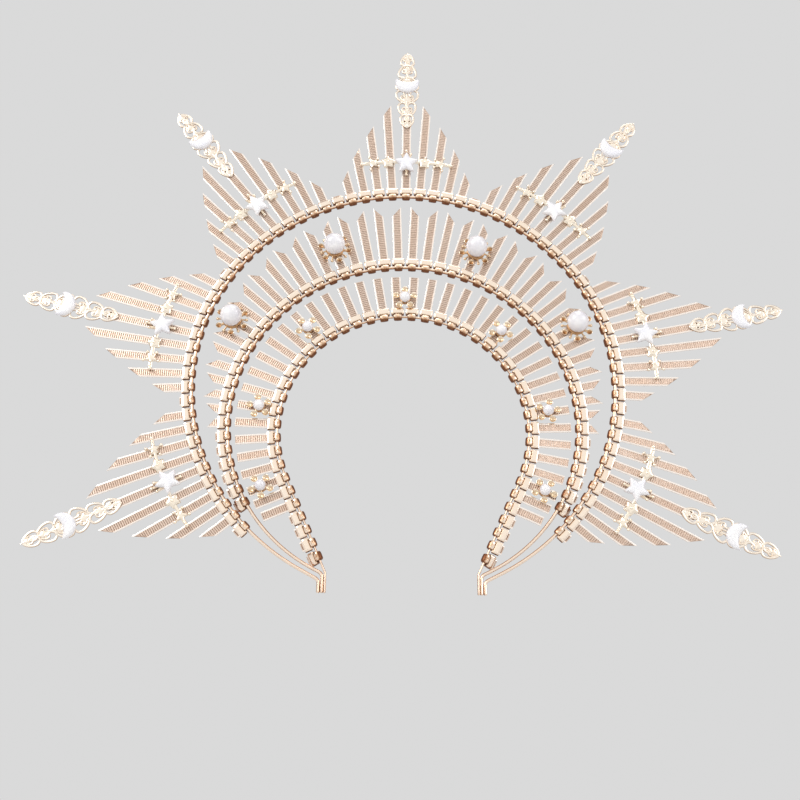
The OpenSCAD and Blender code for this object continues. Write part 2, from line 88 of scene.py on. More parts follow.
# Fringe ends and strips
OUTER_PITCH = 7.85
MIDDLE_PITCH = 7.7
INNER_PITCH = 7.7
BARREL_R = 2.15
BARREL_L = 4.5
BORE_CLEAR = 0.05
DENT_DEPTH = 0.3
DENT_X = 0.38
SHEET_T = 0.9
NECK = 0.3
NOTCH_GAP = 0.1
SHOULDER_RISE = 0.35
SHOULDER_Y = WIRE_D / 2 + SHOULDER_RISE
CREASE_Y = 1.9
TONGUE_Y = 0.9
FOLD_W = 6.9
FOLD_L = 2.8
FOLD_BEVEL = 0.2
FOLD_CLEAR = 0.05
STRIP_W = 5.4
STRIP_T = 0.8
RAIL_W = 1.0
WEB_T = 0.45
RIB_PITCH = 1.15
RIB_H = 0.18
GROOVE = 0.24
STUB = 1.2
FOLD_Y = BARREL_R + NECK
FOLD_END = FOLD_Y + FOLD_L
FOLD_T = STRIP_T + 2 * (FOLD_CLEAR + SHEET_T)
STRIP_START = FOLD_Y + SHEET_T + FOLD_CLEAR
FRONT = STRIP_T / 2
LEAN_ROOM = 1.5
LEAN_REACH = FOLD_END + STUB + BARREL_R + LEAN_ROOM
LEAN_RATE = np.radians(10)
LEAN_MOST = np.radians(30)

# Counts of the fringe, from the top down on each side
RAY_SIDE = 4
RAYS_SIDE = 3
RAY_UNITS = 2 * RAY_SIDE + 2
MIDDLE_STRIPS = 20
MIDDLE_ENDS = 26
INNER_STRIPS = 20
INNER_ENDS = 24

# How far the strips reach and how they are cut
RAY_REACH = 64
RAY_STEP = 14.1
RAY_CUT = 7.5
MIDDLE_SPACE = 7
MIDDLE_CUT = 6.2
INNER_SPACE = 6.4
INNER_SPACE_LAST = 3.2

# Filigree spikes and moons
SPIKE_BASE = 48
SPIKE_LAP = 7
FILIGREE_T = 0.8
MOTIF_L = 8.8
MOTIF_WIDTHS = (8.8, 11.4, 14.2, 14.2, 11.4, 8.8)
STRAND = 1.0
HEART_W = 1.2 * STRAND
HEART_TURN = 1.3 * np.pi
LOBE_D = 6.0
NECK_W = 6.2
NECK_SAG = 0.25
BEAD_D = 2.4
BEAD_SQUASH = 0.4
POINT_L = 1.0
POINT_W = 0.25
POINT_T = 0.3
LAP = 0.2
SCROLL_SIZE = 0.56
SCROLL_DROP = 0.17 * MOTIF_L
SCROLL_W = 0.9 * STRAND
SCROLL_TURN = 1.8 * np.pi
SCROLL_WIND = 0.3
LEAF_W = 0.19
LEAF_L = 0.24 * MOTIF_L
LEAF_DROP = 0.25 * MOTIF_L
MOON_R = 7.2
MOON_HOLLOW_R = 10.0
MOON_W = 7.0
MOON_H = 2.6
MOON_Y = 31.5

# Star bars
STAR_Y = 21.5
STAR_R = 7.8
STAR_NOTCH_R = 3.9
STAR_H = 2.9
STAR_RIM = 1.1
STAR_SWELL = 4.5
BAR_T = 1.4
BAR_W = 1.6
BAR_LOOK_W = 1.2 * BAR_W
BAR_LIFT = 1.8
BAR_R = OUTER_R + STAR_Y + BAR_LIFT
BAR_ARM_DS = (1.6, 1.2)
STAR_SEAT_R = 3.0
CAST_SWELL = 4
BLOSSOM_X = 10.8
BLOSSOM_R = 4.2
BLOSSOM_TIP_R = 1.1 * BLOSSOM_R
BLOSSOM_NOTCH_R = 0.7 * BLOSSOM_R
BLOSSOM_H = 1.9
BLOSSOM_RIM = 0.9
BLOSSOM_BALL_R = 0.9
BLOSSOM_BALL_SINK = 0.3
KNOB_STAR_X = 20.2
KNOB_STAR_R = 4.4
KNOB_NOTCH_R = 0.45 * KNOB_STAR_R
KNOB_STAR_RIM = 0.8
KNOB_D = 1.8
END_BALL_X = 26.4
END_BALL_D = 2.2
FINIAL_Y = 9.2
FINIAL_FAN = np.radians(20)
FOOT_Y = 7.0

# Arms of bars and flowers start off the middle, so that opposite ones share no points
ARM_START = 0.5

# Pearl flowers
FLOWER_T = 0.8
CUP_H = 2 * FLOWER_T
PEARL_CLEAR = 0.05
LARGE_PEARL_D = 12
LARGE_Y = 18.2
LARGE_PETALS = 6
LARGE_PETAL_R = 8.0
LARGE_PETAL_D = 3.4
LARGE_ARM_DS = (1.5, 1.2)
STAMEN_D = 1.8
STAMEN_START = 3
STAMEN_STEM_DS = (0.9, 0.8)
SMALL_PEARL_D = 6
SMALL_PETALS = 5
SMALL_PETAL_R = 5.2
SMALL_PETAL_D = 3.8
SMALL_ARM_DS = (1.5, 1.3)
SMALL_SEAT_R = 3.0
SMALL_RISE = FOLD_T / 2 - FRONT + FOLD_CLEAR
LARGE_UNITS = (-12.5, -4.5, 4.5, 12.5)
SMALL_UNITS = (-17.5, -12.5, -6.5, 0, 6.5, 12.5, 17.5)
SMALL_YS = (14, 11.2, 12, 10.6, 12, 11.2, 14)

# Painted shade and patina, from 0, bright, to 1, dark: of whole forms, round a strand and along a cup's
# profile
# Painted shade: on the tongue in its gap, on seats under stars and pearls, on bar arms, knobs, flower
# arms and stamens, round a strand's sides and back, under and in a cup; solder and inner scrolls are just
# darker
TONGUE_SHADE = 0.9
SOLDER_DARKENING = 0.3
INNER_SCROLL_DARKENING = 0.1
STAR_SEAT_SHADE = 0.5
BAR_ARM_SHADE = 0.2
BAR_KNOB_SHADE = 0.05
PEARL_SEAT_SHADE = 0.8
LARGE_ARM_SHADE = 0.6
STAMEN_SHADE = 0.4
SMALL_ARM_SHADE = 0.5
STRAND_SHADE = np.array([0.75, 0, 0, 0.75, 1, 0.3, 0.3, 1])
LARGE_CUP_SHADE = np.array([1, 0.9, 0.6, 0.4, 0.1, 0.0, 0.35, 0.75, 0.9, 0.95])[:, None]
SMALL_CUP_SHADE = 0.5 * LARGE_CUP_SHADE

# Meshes: the angles past which edges stay sharp, and the distance in metres that closes poles
CRISP = np.radians(38)
SOFT = np.radians(60)
MERGE_M = 2e-6

RAY_NAMES = ("left_low", "left_mid", "left_high", "top", "right_high", "right_mid", "right_low")

Hoop = namedtuple("Hoop", "top_r low_r turn rise leg tip wire")


def make_hoop(top_r, low_r, leg, tip, x, wire):
    """Upper half circle, lower arcs, legs, bends and tips; the turn brings the tip to x."""
    arm = low_r + BEND_R
    across = x + BEND_R - top_r + low_r
    turn = np.pi - np.arcsin(across / np.hypot(arm, leg)) - np.arctan2(leg, arm)
    rise = tip - arm * np.cos(turn) + leg * np.sin(turn)
    return Hoop(top_r, low_r, turn, rise, leg, tip, wire)


INNER = make_hoop(INNER_R, INNER_R, INNER_LEG, INNER_TIP, INNER_X, INNER_WIRE_D)
MIDDLE = make_hoop(MIDDLE_R, MIDDLE_LOW_R, MIDDLE_LEG, MIDDLE_TIP, MIDDLE_X, WIRE_D)
OUTER = make_hoop(OUTER_R, OUTER_LOW_R, OUTER_LEG, OUTER_TIP, OUTER_X, WIRE_D)


def runs(hoop):
    """Curvature and length of each run of a hoop's right half, from the top to the tip."""
    bend = hoop.turn - np.pi / 2
    return np.array([
        (1 / hoop.top_r, hoop.top_r * np.pi / 2),
        (1 / hoop.low_r, hoop.low_r * bend),
        (0, hoop.leg),
        (-1 / BEND_R, BEND_R * bend),
        (0, hoop.tip),
    ])


def advance(x, y, heading, curve, length):
    """Moves along an arc: its chord is length * sinc, at the heading half way along."""
    middle = heading - curve * length / 2
    chord = length * np.sinc(curve * length / TAU)
    return x + chord * np.cos(middle), y + chord * np.sin(middle), heading - curve * length


def hoop_at(hoop, s):
    """Place and heading (x, y, angle) at signed lengths s from the top of a hoop."""
    s = np.atleast_1d(np.asarray(s, float))
    path = runs(hoop)
    starts = [(0.0, hoop.rise + hoop.top_r, 0.0)]
    for curve, length in path[:-1]:
        starts.append(advance(*starts[-1], curve, length))
    ends = np.cumsum(path[:, 1])
    run = np.searchsorted(ends[:-1], np.abs(s))
    into = np.abs(s) - (ends - path[:, 1])[run]
    x, y, heading = advance(*np.array(starts)[run].T, path[run, 0], into)
    side = np.where(s < 0, -1, 1)
    return np.stack([side * x, y, side * heading], -1)


def to_circle(p, u, centre, radius):
    """Length from p along u to a circle: -b + sqrt(b^2 - q^2 + r^2), q = p - centre and b = q . u."""
    q = p - centre
    b = (q * u).sum(-1)
    return -b + np.sqrt(b * b - (q * q).sum(-1) + radius * radius)


def to_hoop(hoop, s, other, margin=0.0):
    """Length outwards from a hoop at s to the next hoop, less a margin."""
    x, y, heading = hoop_at(hoop, np.abs(s)).T
    p = np.stack([x, y], -1)
    u = np.stack([-np.sin(heading), np.cos(heading)], -1)
    high = to_circle(p, u, np.array([0, other.rise]), other.top_r - margin)
    low_centre = np.array([other.top_r - other.low_r, other.rise])
    low = to_circle(p, u, low_centre, other.low_r - margin)
    return np.where(y + high * u[:, 1] >= other.rise, high, low)


def lean_of(hoop, s, other):
    """An end leans back where the next hoop is near its lower corner."""
    reach = to_hoop(hoop, np.abs(s) + FOLD_W / 2, other)
    return np.clip((LEAN_REACH - reach) * LEAN_RATE, 0, LEAN_MOST)


def half_units(count):
    """Units at half pitches, from one side over the top to the other."""
    return np.arange(1 - count, count + 1) - 0.5


def seat(places, local, lean=0.0):
    """Puts a local grid (x along the wire, y outwards, z forwards) at every place on a hoop.

    It is turned back about x by the lean, then in the plane by the heading, and moved to the place.
    """
    px, py, heading = (column[:, None, None] for column in places.T)
    back = np.broadcast_to(lean, len(places))[:, None, None]
    x, y, z = local[..., 0], local[..., 1], local[..., 2]
    out = y * np.cos(back) + z * np.sin(back)
    front = z * np.cos(back) - y * np.sin(back)
    across = px + x * np.cos(heading) - out * np.sin(heading)
    up = py + x * np.sin(heading) + out * np.cos(heading)
    return np.stack([across, up, front + 0 * across], -1)


def turned(grid, angle, centre=(0, 0)):
    """Turns a grid about z and moves it in the plane."""
    c, s = np.cos(angle), np.sin(angle)
    x, y = grid[..., 0], grid[..., 1]
    return np.stack([c * x - s * y + centre[0], s * x + c * y + centre[1], grid[..., 2]], -1)


def capped(grid):
    """Closes a grid's first and last rows to points, each row's mean."""
    first = np.broadcast_to(grid[:1].mean(1, keepdims=True), grid[:1].shape)
    last = np.broadcast_to(grid[-1:].mean(1, keepdims=True), grid[-1:].shape)
    return np.concatenate([first, grid, last])


def darkening(depth, rate, start, most=1.0):
    """Painted shade and patina that grow with depth: rate * depth - start, from 0 to its most."""
    return np.clip(rate * depth - start, 0, most)


class Skin:
    """Gathers the grids of one piece, each point with its painted shade and patina."""

    def __init__(self):
        self.points = []
        self.shade_and_patina = []
        self.faces = []
        self.count = 0

    def add(self, grid, shade_and_patina=0.0, wrap_rows=False, caps=False):
        """Adds (copies, rows, columns, 3) points with quads between neighbours; returns itself."""
        grid = grid if grid.ndim == 4 else grid[None]
        copies, rows, columns = grid.shape[:3]
        i = np.arange(rows if wrap_rows else rows - 1)[:, None]
        j = np.arange(columns)[None, :]
        right, below = (j + 1) % columns, (i + 1) % rows
        quads = np.stack([i * columns + j, i * columns + right,
                          below * columns + right, below * columns + j], -1).reshape(-1, 4)
        start = self.count + np.arange(copies)[:, None, None] * rows * columns
        self.faces.append((quads[None] + start).reshape(-1, 4))
        if caps:
            ring = np.arange(columns)[None, None, :]
            self.faces.append((start + ring).reshape(-1, columns))
            self.faces.append((start + (rows - 1) * columns + ring).reshape(-1, columns))
        self.points.append(grid.reshape(-1, 3))
        self.shade_and_patina.append(np.broadcast_to(shade_and_patina, grid.shape[:3]).ravel())
        self.count += copies * rows * columns
        return self

    def piece(self, node, slot, sharp=CRISP):
        """Makes the mesh in its slot's finish, closes its poles, and lets it stand for its node."""
        points = np.concatenate(self.points)
        standing = np.stack([points[:, 0], -points[:, 2], points[:, 1]], -1) * MM
        sizes = np.concatenate([np.full(len(f), f.shape[1]) for f in self.faces])
        loops = np.concatenate([f.ravel() for f in self.faces])
        mesh = bpy.data.meshes.new(node + "_look")
        mesh.vertices.add(len(points))
        mesh.vertices.foreach_set("co", standing.ravel())
        mesh.loops.add(len(loops))
        mesh.loops.foreach_set("vertex_index", loops.astype(np.int32))
        mesh.polygons.add(len(sizes))
        mesh.polygons.foreach_set("loop_start", (np.cumsum(sizes) - sizes).astype(np.int32))
        mesh.update(calc_edges=True)
        layer = mesh.attributes.new("shade_and_patina", "FLOAT", "POINT")
        layer.data.foreach_set("value", np.concatenate(self.shade_and_patina).astype(np.float32))
        shell = bmesh.new()
        shell.from_mesh(mesh)
        bmesh.ops.remove_doubles(shell, verts=shell.verts, dist=MERGE_M)
        bmesh.ops.recalc_face_normals(shell, faces=shell.faces)
        shell.to_mesh(mesh)
        shell.free()
        mesh.shade_smooth()
        mesh.set_sharp_from_angle(angle=sharp)
        mesh.materials.append(FINISHES[slot])
        look = bpy.data.objects.new(node + "_look", mesh)
        bpy.context.scene.collection.objects.link(look)
        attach(look, "root")
        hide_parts(node)


# Basic forms

def ball(radius, centre=(0, 0, 0), rows=9, columns=14, squash=1.0):
    """Sphere by latitude and longitude, flattened along z."""
    lat = np.linspace(-np.pi / 2, np.pi / 2, rows)[:, None]
    lon = np.linspace(0, TAU, columns, endpoint=False)[None, :]
    level = squash * np.sin(lat) + 0 * lon
    unit = np.stack([np.cos(lat) * np.cos(lon), np.cos(lat) * np.sin(lon), level], -1)
    return radius * unit + np.asarray(centre, float)


def thread(path, width, thick, z, sides=8):
    """Thread along a plane curve, eight-sided with a flat front: |x|^4 + |z|^4 = 1, stretched."""
    path = np.asarray(path, float)
    step = np.gradient(path, axis=0)
    step /= np.linalg.norm(step, axis=1, keepdims=True)
    across = np.stack([-step[:, 1], step[:, 0]], -1)
    turn = (np.arange(sides) + 0.5) * TAU / sides
    side, front = (np.sign(v) * np.sqrt(np.abs(v)) for v in (np.cos(turn), np.sin(turn)))
    half = np.broadcast_to(np.asarray(width, float) / 2, len(path))[:, None, None]
    flat = path[:, None] + across[:, None] * half * side[None, :, None]
    level = z + np.broadcast_to(np.asarray(thick, float) / 2, len(path))[:, None] * front
    return capped(np.concatenate([flat, level[..., None]], -1))


def arm(start_y, end_y, diameters, z, rows=4):
    """Straight thread up y that tapers from one diameter to another."""
    t = np.linspace(0, 1, rows)
    path = np.stack([0 * t, start_y * (1 - t) + end_y * t], -1)
    width = diameters[0] + (diameters[1] - diameters[0]) * t
    return thread(path, width, width, z)


def lathe(profile, columns=24):
    """Turns a profile of (radius, height) about z."""
    profile = np.asarray(profile, float)
    lon = np.linspace(0, TAU, columns, endpoint=False)
    r, z = profile[:, :1], profile[:, 1:]
    return np.stack([r * np.cos(lon), r * np.sin(lon), z + 0 * lon], -1)


def star_radius(angle, tip_r, notch_r):
    """Polar radius of a five-pointed star with straight sides, its points a little blunt.

    With p the angle from the nearest point and b = 36 degrees, a side has the radius
    tip * notch * sin(b) / (tip * sin(p) + notch * sin(b - p)). A power mean with a cap blunts it.
    """
    cap_size, cap_bend, sharpness = 0.985, 0.9, 14.0
    b = np.pi / 5
    p = np.abs((angle + b) % (2 * b) - b)
    side = tip_r * notch_r * np.sin(b) / (tip_r * np.sin(p) + notch_r * np.sin(b - p))
    cap = cap_size * tip_r * np.cos(cap_bend * p)
    return (side ** -sharpness + cap ** -sharpness) ** (-1 / sharpness)


def puffed_star(tip_r, notch_r, height, rim, swell, rows=12, columns=90):
    """Star outline scaled by rho, with z = rim + (height - rim) * (1 - rho^swell)^puff."""
    puff, foot_size, foot_rise = 0.62, 0.95, 0.35
    angle = np.linspace(0, TAU, columns, endpoint=False)
    outline = star_radius(angle, tip_r, notch_r)
    rho = np.sin(np.linspace(0, np.pi / 2, rows))
    top = rim + (height - rim) * (1 - rho ** swell) ** puff
    scale = np.concatenate([rho, [1.0, foot_size, 0.0]])
    level = np.concatenate([top, [rim * foot_rise, 0.0, 0.0]])
    r = scale[:, None] * outline[None, :]
    return np.stack([r * np.sin(angle), r * np.cos(angle), level[:, None] + 0 * r], -1)


def crescent(rows=56, columns=22):
    """Between an outer and a hollow arc that meet in two horns, with a rounded front.

    With t from horn to horn, the front has z = MOON_H * sqrt(1 - t^4) * sqrt(sin(turn)).
    """
    hollow_y = MOON_W - MOON_R + MOON_HOLLOW_R
    horn_y = (MOON_R ** 2 - MOON_HOLLOW_R ** 2 + hollow_y ** 2) / (2 * hollow_y)
    outer_sweep = np.pi / 2 + np.arcsin(horn_y / MOON_R)
    hollow_sweep = np.pi / 2 - np.arcsin((hollow_y - horn_y) / MOON_HOLLOW_R)
    t = np.sin(np.linspace(-np.pi / 2, np.pi / 2, rows))
    outer = MOON_R * np.stack([np.sin(t * outer_sweep), -np.cos(t * outer_sweep)], -1)
    hollow = MOON_HOLLOW_R * np.stack([np.sin(t * hollow_sweep), -np.cos(t * hollow_sweep)], -1)
    hollow[:, 1] += hollow_y
    turn = np.linspace(0, TAU, columns, endpoint=False)
    share = (0.5 - 0.5 * np.cos(turn))[None, :, None]
    flat = outer[:, None] * (1 - share) + hollow[:, None] * share
    plump = np.sqrt(np.clip(1 - t ** 4, 0, 1))[:, None]
    front = MOON_H * np.sqrt(np.clip(np.sin(turn), 0, 1))[None, :]
    return np.concatenate([flat, (plump * front)[..., None]], -1)


# Parts of the fringe

def wire_lengths(hoop):
    """Lengths along a hoop, close together in the bends and at the rounded tips."""
    run_steps = (90, 70, 8, 12, 6)
    tip_steps = 5
    ends = np.concatenate([[0], np.cumsum(runs(hoop)[:, 1])])
    half = [np.linspace(a, b, n, endpoint=False) for a, b, n in zip(ends, ends[1:], run_steps)]
    back = WIRE_ROUND * hoop.wire * (1 - np.sin(np.linspace(0, np.pi / 2, tip_steps)))
    right = np.unique(np.concatenate(half + [ends[-1] - back]))
    return np.concatenate([-right[:0:-1], right])


def hoop_look(hoop, columns=14):
    """Round wire along a hoop, its radius drawn in at the ends along a quarter circle."""
    blunt = 0.55
    s = wire_lengths(hoop)
    turn = np.linspace(0, TAU, columns, endpoint=False)
    to_end = np.clip((np.abs(s).max() - np.abs(s)) / (WIRE_ROUND * hoop.wire), 0, 1)
    radius = hoop.wire / 2 * (blunt + (1 - blunt) * np.sqrt(1 - (1 - to_end) ** 2))
    ring = np.stack([0 * turn, np.cos(turn), np.sin(turn)], -1)
    grid = seat(hoop_at(hoop, s), (radius[:, None, None] * ring)[:, None])[:, 0]
    # Painted shade on the side of the wire turned to the hoop's middle.
    return capped(grid), darkening(-np.cos(turn), rate=1.6, start=0.5)


# Turns round a barrel in degrees, closest at the dent in its front
BARREL_TURNS = (90, 101, 130, 165, 200, 235, 270, 305, 340, 15, 50, 79)


def barrel_section(bore_r):
    """Outline of a barrel (x, radius): a pillow with round ends, closed along its bore."""
    end = BARREL_L / 2
    right = [(DENT_X, BARREL_R), (0.72 * end, 0.97 * BARREL_R), (0.93 * end, 0.88 * BARREL_R),
             (end, 0.74 * BARREL_R), (end, bore_r)]
    return np.array([(-x, r) for x, r in reversed(right)] + [(0, BARREL_R)] + right)


def barrel(bore_r):
    """Carries the outline round x, y = r cos(turn) and z = r sin(turn), and punches one dent in front."""
    dent_reach, dent_turn, dent_dark = 0.4, 0.2, 0.4
    section = barrel_section(bore_r)
    turn = np.radians(BARREL_TURNS)[None, :]
    x, radius = section[:, :1], section[:, 1:]
    dent = np.isclose(x, 0) & np.isclose(turn, np.pi / 2)
    radius = radius - DENT_DEPTH * dent
    grid = np.stack([x + 0 * turn, radius * np.cos(turn), radius * np.sin(turn)], -1)
    # Painted shade: on the side turned to the hoop's middle, in the crease by the fold, at both ends and
    # in the punched dent.
    inward = darkening(-np.cos(turn), rate=2.6, start=0.4)
    crease = darkening(np.cos(turn), rate=1.6, start=1.2)
    ends = darkening(np.abs(x) / (BARREL_L / 2), rate=2.4, start=1.7, most=0.7)
    mark = (np.abs(x) < dent_reach) & (np.abs(turn - np.pi / 2) < dent_turn)
    shade_and_patina = np.clip(inward + crease + ends + dent_dark * mark + dent, 0, 1) + 0 * radius
    return grid, shade_and_patina


def fold_section(bottom):
    """Outline of the fold (y, z, painted shade and patina, outside): a sheet bent back on itself, down to
    a closed edge.
    """
    lip, lip_drop, edge, crown = 0.3, 0.24, 0.2, 0.08
    # Painted shade: darker towards the lower edge, on the back and inside the slot.
    back_dark = 0.3
    t = FOLD_T / 2
    gap = STRIP_T / 2 + FOLD_CLEAR
    inside = FOLD_Y + SHEET_T
    front = [
        (FOLD_END, t - lip_drop, 0.0), (FOLD_END - lip, t - crown, 0.0),
        ((FOLD_END + FOLD_Y) / 2, t + crown, 0.0), (FOLD_Y + edge, t, 0.0),
        (bottom + edge, t - crown, 0.3), (bottom, t - edge, 1.0),
    ]
    back = [(y, -z, shade_and_patina + back_dark) for y, z, shade_and_patina in reversed(front)]
    slot = [(FOLD_END, -gap, 0.8), (inside, -gap, 1.0), (inside, gap, 1.0), (FOLD_END, gap, 0.8)]
    outside = [1] * len(front + back) + [0] * len(slot)
    return np.column_stack([front + back + slot, outside])


def fold():
    """Carries the fold's outline across its width; a notch between two shoulders holds the barrel.

    The outside is drawn in by the bevel at both sides, and bows back with the square of x.
    """
    bevel_depth, bow, side_dark = 0.8, 0.1, 0.6
    half, notch = FOLD_W / 2, BARREL_L / 2 + NOTCH_GAP
    right = [(notch, CREASE_Y, 0), (notch, SHOULDER_Y, 0), (half - FOLD_BEVEL, SHOULDER_Y, 0),
             (half, SHOULDER_Y, FOLD_BEVEL)]
    rows = np.array([(-x, bottom, inset) for x, bottom, inset in reversed(right)] + right)
    x, inset = rows[:, :1], rows[:, 2:]
    sections = np.array([fold_section(bottom) for bottom in rows[:, 1]])
    y, z, shade_and_patina, outside = np.moveaxis(sections, -1, 0)
    middle = (SHOULDER_Y + FOLD_END) / 2
    y = y - inset * np.sign(y - middle) * outside
    z = z - (bevel_depth * inset + bow * (x / half) ** 2) * np.sign(z) * outside
    # Painted shade on both bevelled ends of the fold.
    shade_and_patina = np.clip(shade_and_patina + side_dark * (inset > 0), 0, 1)
    return np.stack([x + 0 * y, y, z], -1), shade_and_patina


def tongue():
    """Sheet from the barrel to the fold, set a little forward of the fold's back."""
    top = FOLD_CLEAR - STRIP_T / 2
    bottom = top - SHEET_T
    end_y = FOLD_Y + SHEET_T / 2
    corners = np.array([(0, TONGUE_Y, top), (0, end_y, top), (0, end_y, bottom), (0, TONGUE_Y, bottom)])
    half = np.array([BARREL_L / 2, 0, 0])
    return np.stack([corners - half, corners + half])


def fringe_ends(skin, hoop, s, lean=0.0):
    """Barrel, fold and tongue at every length s of a hoop."""
    places = hoop_at(hoop, s)
    grid, shade_and_patina = barrel(hoop.wire / 2 + BORE_CLEAR)
    skin.add(seat(places, grid, lean), shade_and_patina, wrap_rows=True)
    grid, shade_and_patina = fold()
    skin.add(seat(places, grid, lean), shade_and_patina, caps=True)
    # The tongue is dark all over: painted shade in the gap between barrel and fold.
    return skin.add(seat(places, tongue(), lean), TONGUE_SHADE, caps=True)


def strip_section():
    """Outline of a strip (x, z, web): two rails with flat tops and a web, front then back."""
    w, t, m = STRIP_W / 2, STRIP_T / 2, WEB_T / 2
    web = w - RAIL_W
    left = [(-w, 0, 0), (-w + 0.08 * RAIL_W, 0.85 * t, 0), (-w + 0.25 * RAIL_W, t, 0),
            (-web - 0.12 * RAIL_W, t, 0), (-web, m, 1)]
    front = left + [(0, m, 1)] + [(-x, z, k) for x, z, k in reversed(left)]
    back = [(x, -z, k) for x, z, k in reversed(front[1:-1])]
    return np.array(front + back)


def strip(length, high, drop):
    """Ribbed strip: broad ribs with narrow grooves, each point held back to the slanting end.

    The end falls by the drop towards the side that isn't high; with high at 0 it is square.
    """
    rib_sink, rib_light = 0.6, 0.38
    x, z, web = strip_section().T
    starts = np.arange(STRIP_START, length, RIB_PITCH)[:, None]
    y = (starts + RIB_PITCH * np.array([0, GROOVE, 1 - GROOVE])).ravel()
    y = np.append(y[y < length], length)[:, None]
    end = length - drop * (0.5 - high * x / STRIP_W) * (high != 0)
    y = np.minimum(y, end[None, :])
    phase = ((y - STRIP_START) / RIB_PITCH) % 1
    rib = np.clip(np.minimum(phase, 1 - phase) / GROOVE, 0, 1)
    level = z + np.sign(z) * web * RIB_H * (rib - rib_sink)
    grid = np.stack([x + 0 * y, y, level], -1)
    close = grid[[0, -1]] * np.array([1, 1, 0])
    # Painted shade: the web between the rails is darker, and its grooves darker than the tops of its
    # ribs.
    shade_and_patina = web * (1.0 - rib_light * rib)
    return (np.concatenate([close[:1], grid, close[1:]]),
            np.concatenate([shade_and_patina[:1], shade_and_patina, shade_and_patina[-1:]]))


def strips(skin, hoop, s, lengths, highs=0.0, drops=0.0, lean=0.0):
    """One strip for every length s of a hoop."""
    s, *columns = np.broadcast_arrays(s, lengths, highs, drops, lean)
    for place, length, high, drop, back in zip(hoop_at(hoop, s), *columns):
        grid, shade_and_patina = strip(length, high, drop)
        skin.add(seat(place[None], grid, back), shade_and_patina)
    return skin


def stubs(skin, hoop, s, lean=0.0):
    """Strips cut off just outside their folds."""
    return strips(skin, hoop, s, FOLD_END + STUB, lean=lean)


# Ornaments on the rays

def on_ray(skin, k, y, z, grid, shade_and_patina=0.0):
    """Adds a grid on the front of a ray's centre strip, y from the wire and z from that front."""
    local = grid + np.array([0, y, FRONT + z])
    return skin.add(seat(hoop_at(OUTER, k * RAY_UNITS * OUTER_PITCH), local), shade_and_patina)


def lobe_path(width, foot, side, turn, wind=0.0, rise_rows=12, ring_rows=28):
    """Half a heart: a strand bulges up from a motif's foot, turns over its lobe and winds inwards.

    The rise goes out with sin and up with a blend of t and 1 - cos; the lobe is an arc whose radius
    shrinks by the wind.
    """
    late = 0.4
    lobe_y = (MOTIF_L - LOBE_D) / 2 + LAP
    start = np.array([(foot - STRAND) / 2, -MOTIF_L / 2])
    end = np.array([(width - STRAND) / 2, lobe_y])
    t = np.linspace(0, 1, rise_rows, endpoint=False)
    quarter = t * np.pi / 2
    share = np.stack([np.sin(quarter), (1 - late) * t + late * (1 - np.cos(quarter))], -1)
    rise = start + (end - start) * share
    a = np.linspace(0, turn, ring_rows)
    r = (LOBE_D - STRAND) / 2 * (1 - wind * a / turn)
    ring = np.stack([(width - LOBE_D) / 2 + r * np.cos(a), lobe_y + r * np.sin(a)], -1)
    return np.concatenate([rise, ring]) * np.array([side, 1])


def filigree(skin, k):
    """Row of scrolled motifs with necks between them, each foot to the nearer end, and a point.

    Where strands cross they differ in thickness, so that no two faces lie in one plane.
    """
    side_step, scroll_t, leaf_t, spine_t, neck_t = 0.03, 0.9, 0.9, 0.8, 0.7
    spine_rows, neck_rows, point_rows = 9, 14, 8
    half = FILIGREE_T / 2
    last = len(MOTIF_WIDTHS) - 1
    spike_l = MOTIF_L * len(MOTIF_WIDTHS)

    def strand(path, width, thick=1.0, shade_and_patina=0.0):
        """Adds a thread to the spike, its thickness a share of the sheet's."""
        # Painted shade on the sides and back of each thread.
        shade = np.clip(STRAND_SHADE + shade_and_patina, 0, 1)
        on_ray(skin, k, SPIKE_BASE, 0, thread(path, width, thick * FILIGREE_T, half), shade)

    for i, width in enumerate(MOTIF_WIDTHS):
        centre = np.array([0, (i + 0.5) * MOTIF_L])
        flip = np.array([1, 1 if i < last / 2 else -1])
        foot = BEAD_D if i % last == 0 else NECK_W
        for side in (-1, 1):
            heart = lobe_path(width, foot, side, HEART_TURN)
            strand(heart * flip + centre, HEART_W, 1 + side_step * side)
            scroll = SCROLL_SIZE * lobe_path(width, foot, side, SCROLL_TURN, SCROLL_WIND)
            scroll -= np.array([0, SCROLL_DROP])
            strand(scroll * flip + centre, SCROLL_W, scroll_t + side_step * side, INNER_SCROLL_DARKENING)
        leaf = ball(1) * np.array([LEAF_W * width, LEAF_L, leaf_t * half])
        on_ray(skin, k, SPIKE_BASE + centre[1] - LEAF_DROP * flip[1], half, leaf)
    spine = np.linspace((0, STRAND), (0, spike_l - STRAND), spine_rows)
    strand(spine, STRAND, spine_t, INNER_SCROLL_DARKENING)
    sag = NECK_SAG * np.cos(np.linspace(-np.pi, np.pi, neck_rows))
    across = np.linspace(-NECK_W / 2, NECK_W / 2, neck_rows)
    for i in range(1, last + 1):
        strand(np.stack([across, i * MOTIF_L + sag], -1), STRAND, neck_t)
    for y in (STRAND / 2, spike_l - STRAND / 2):
        on_ray(skin, k, SPIKE_BASE + y, half, ball(BEAD_D / 2, squash=BEAD_SQUASH))
    point_y = spike_l - STRAND / 2 + BEAD_D / 2 + POINT_L
    point = np.linspace((0, spike_l - 2 * STRAND), (0, point_y), point_rows)
    taper = np.linspace(1, POINT_T / FILIGREE_T, point_rows)
    strand(point, np.linspace(BEAD_D, POINT_W, point_rows), taper)
    return skin


def on_bar(x):
    """Point and turn on the star bar's arc, x along it from its middle."""
    a = x / BAR_R
    return (BAR_R * np.sin(a), BAR_LIFT - BAR_R * (1 - np.cos(a))), -a


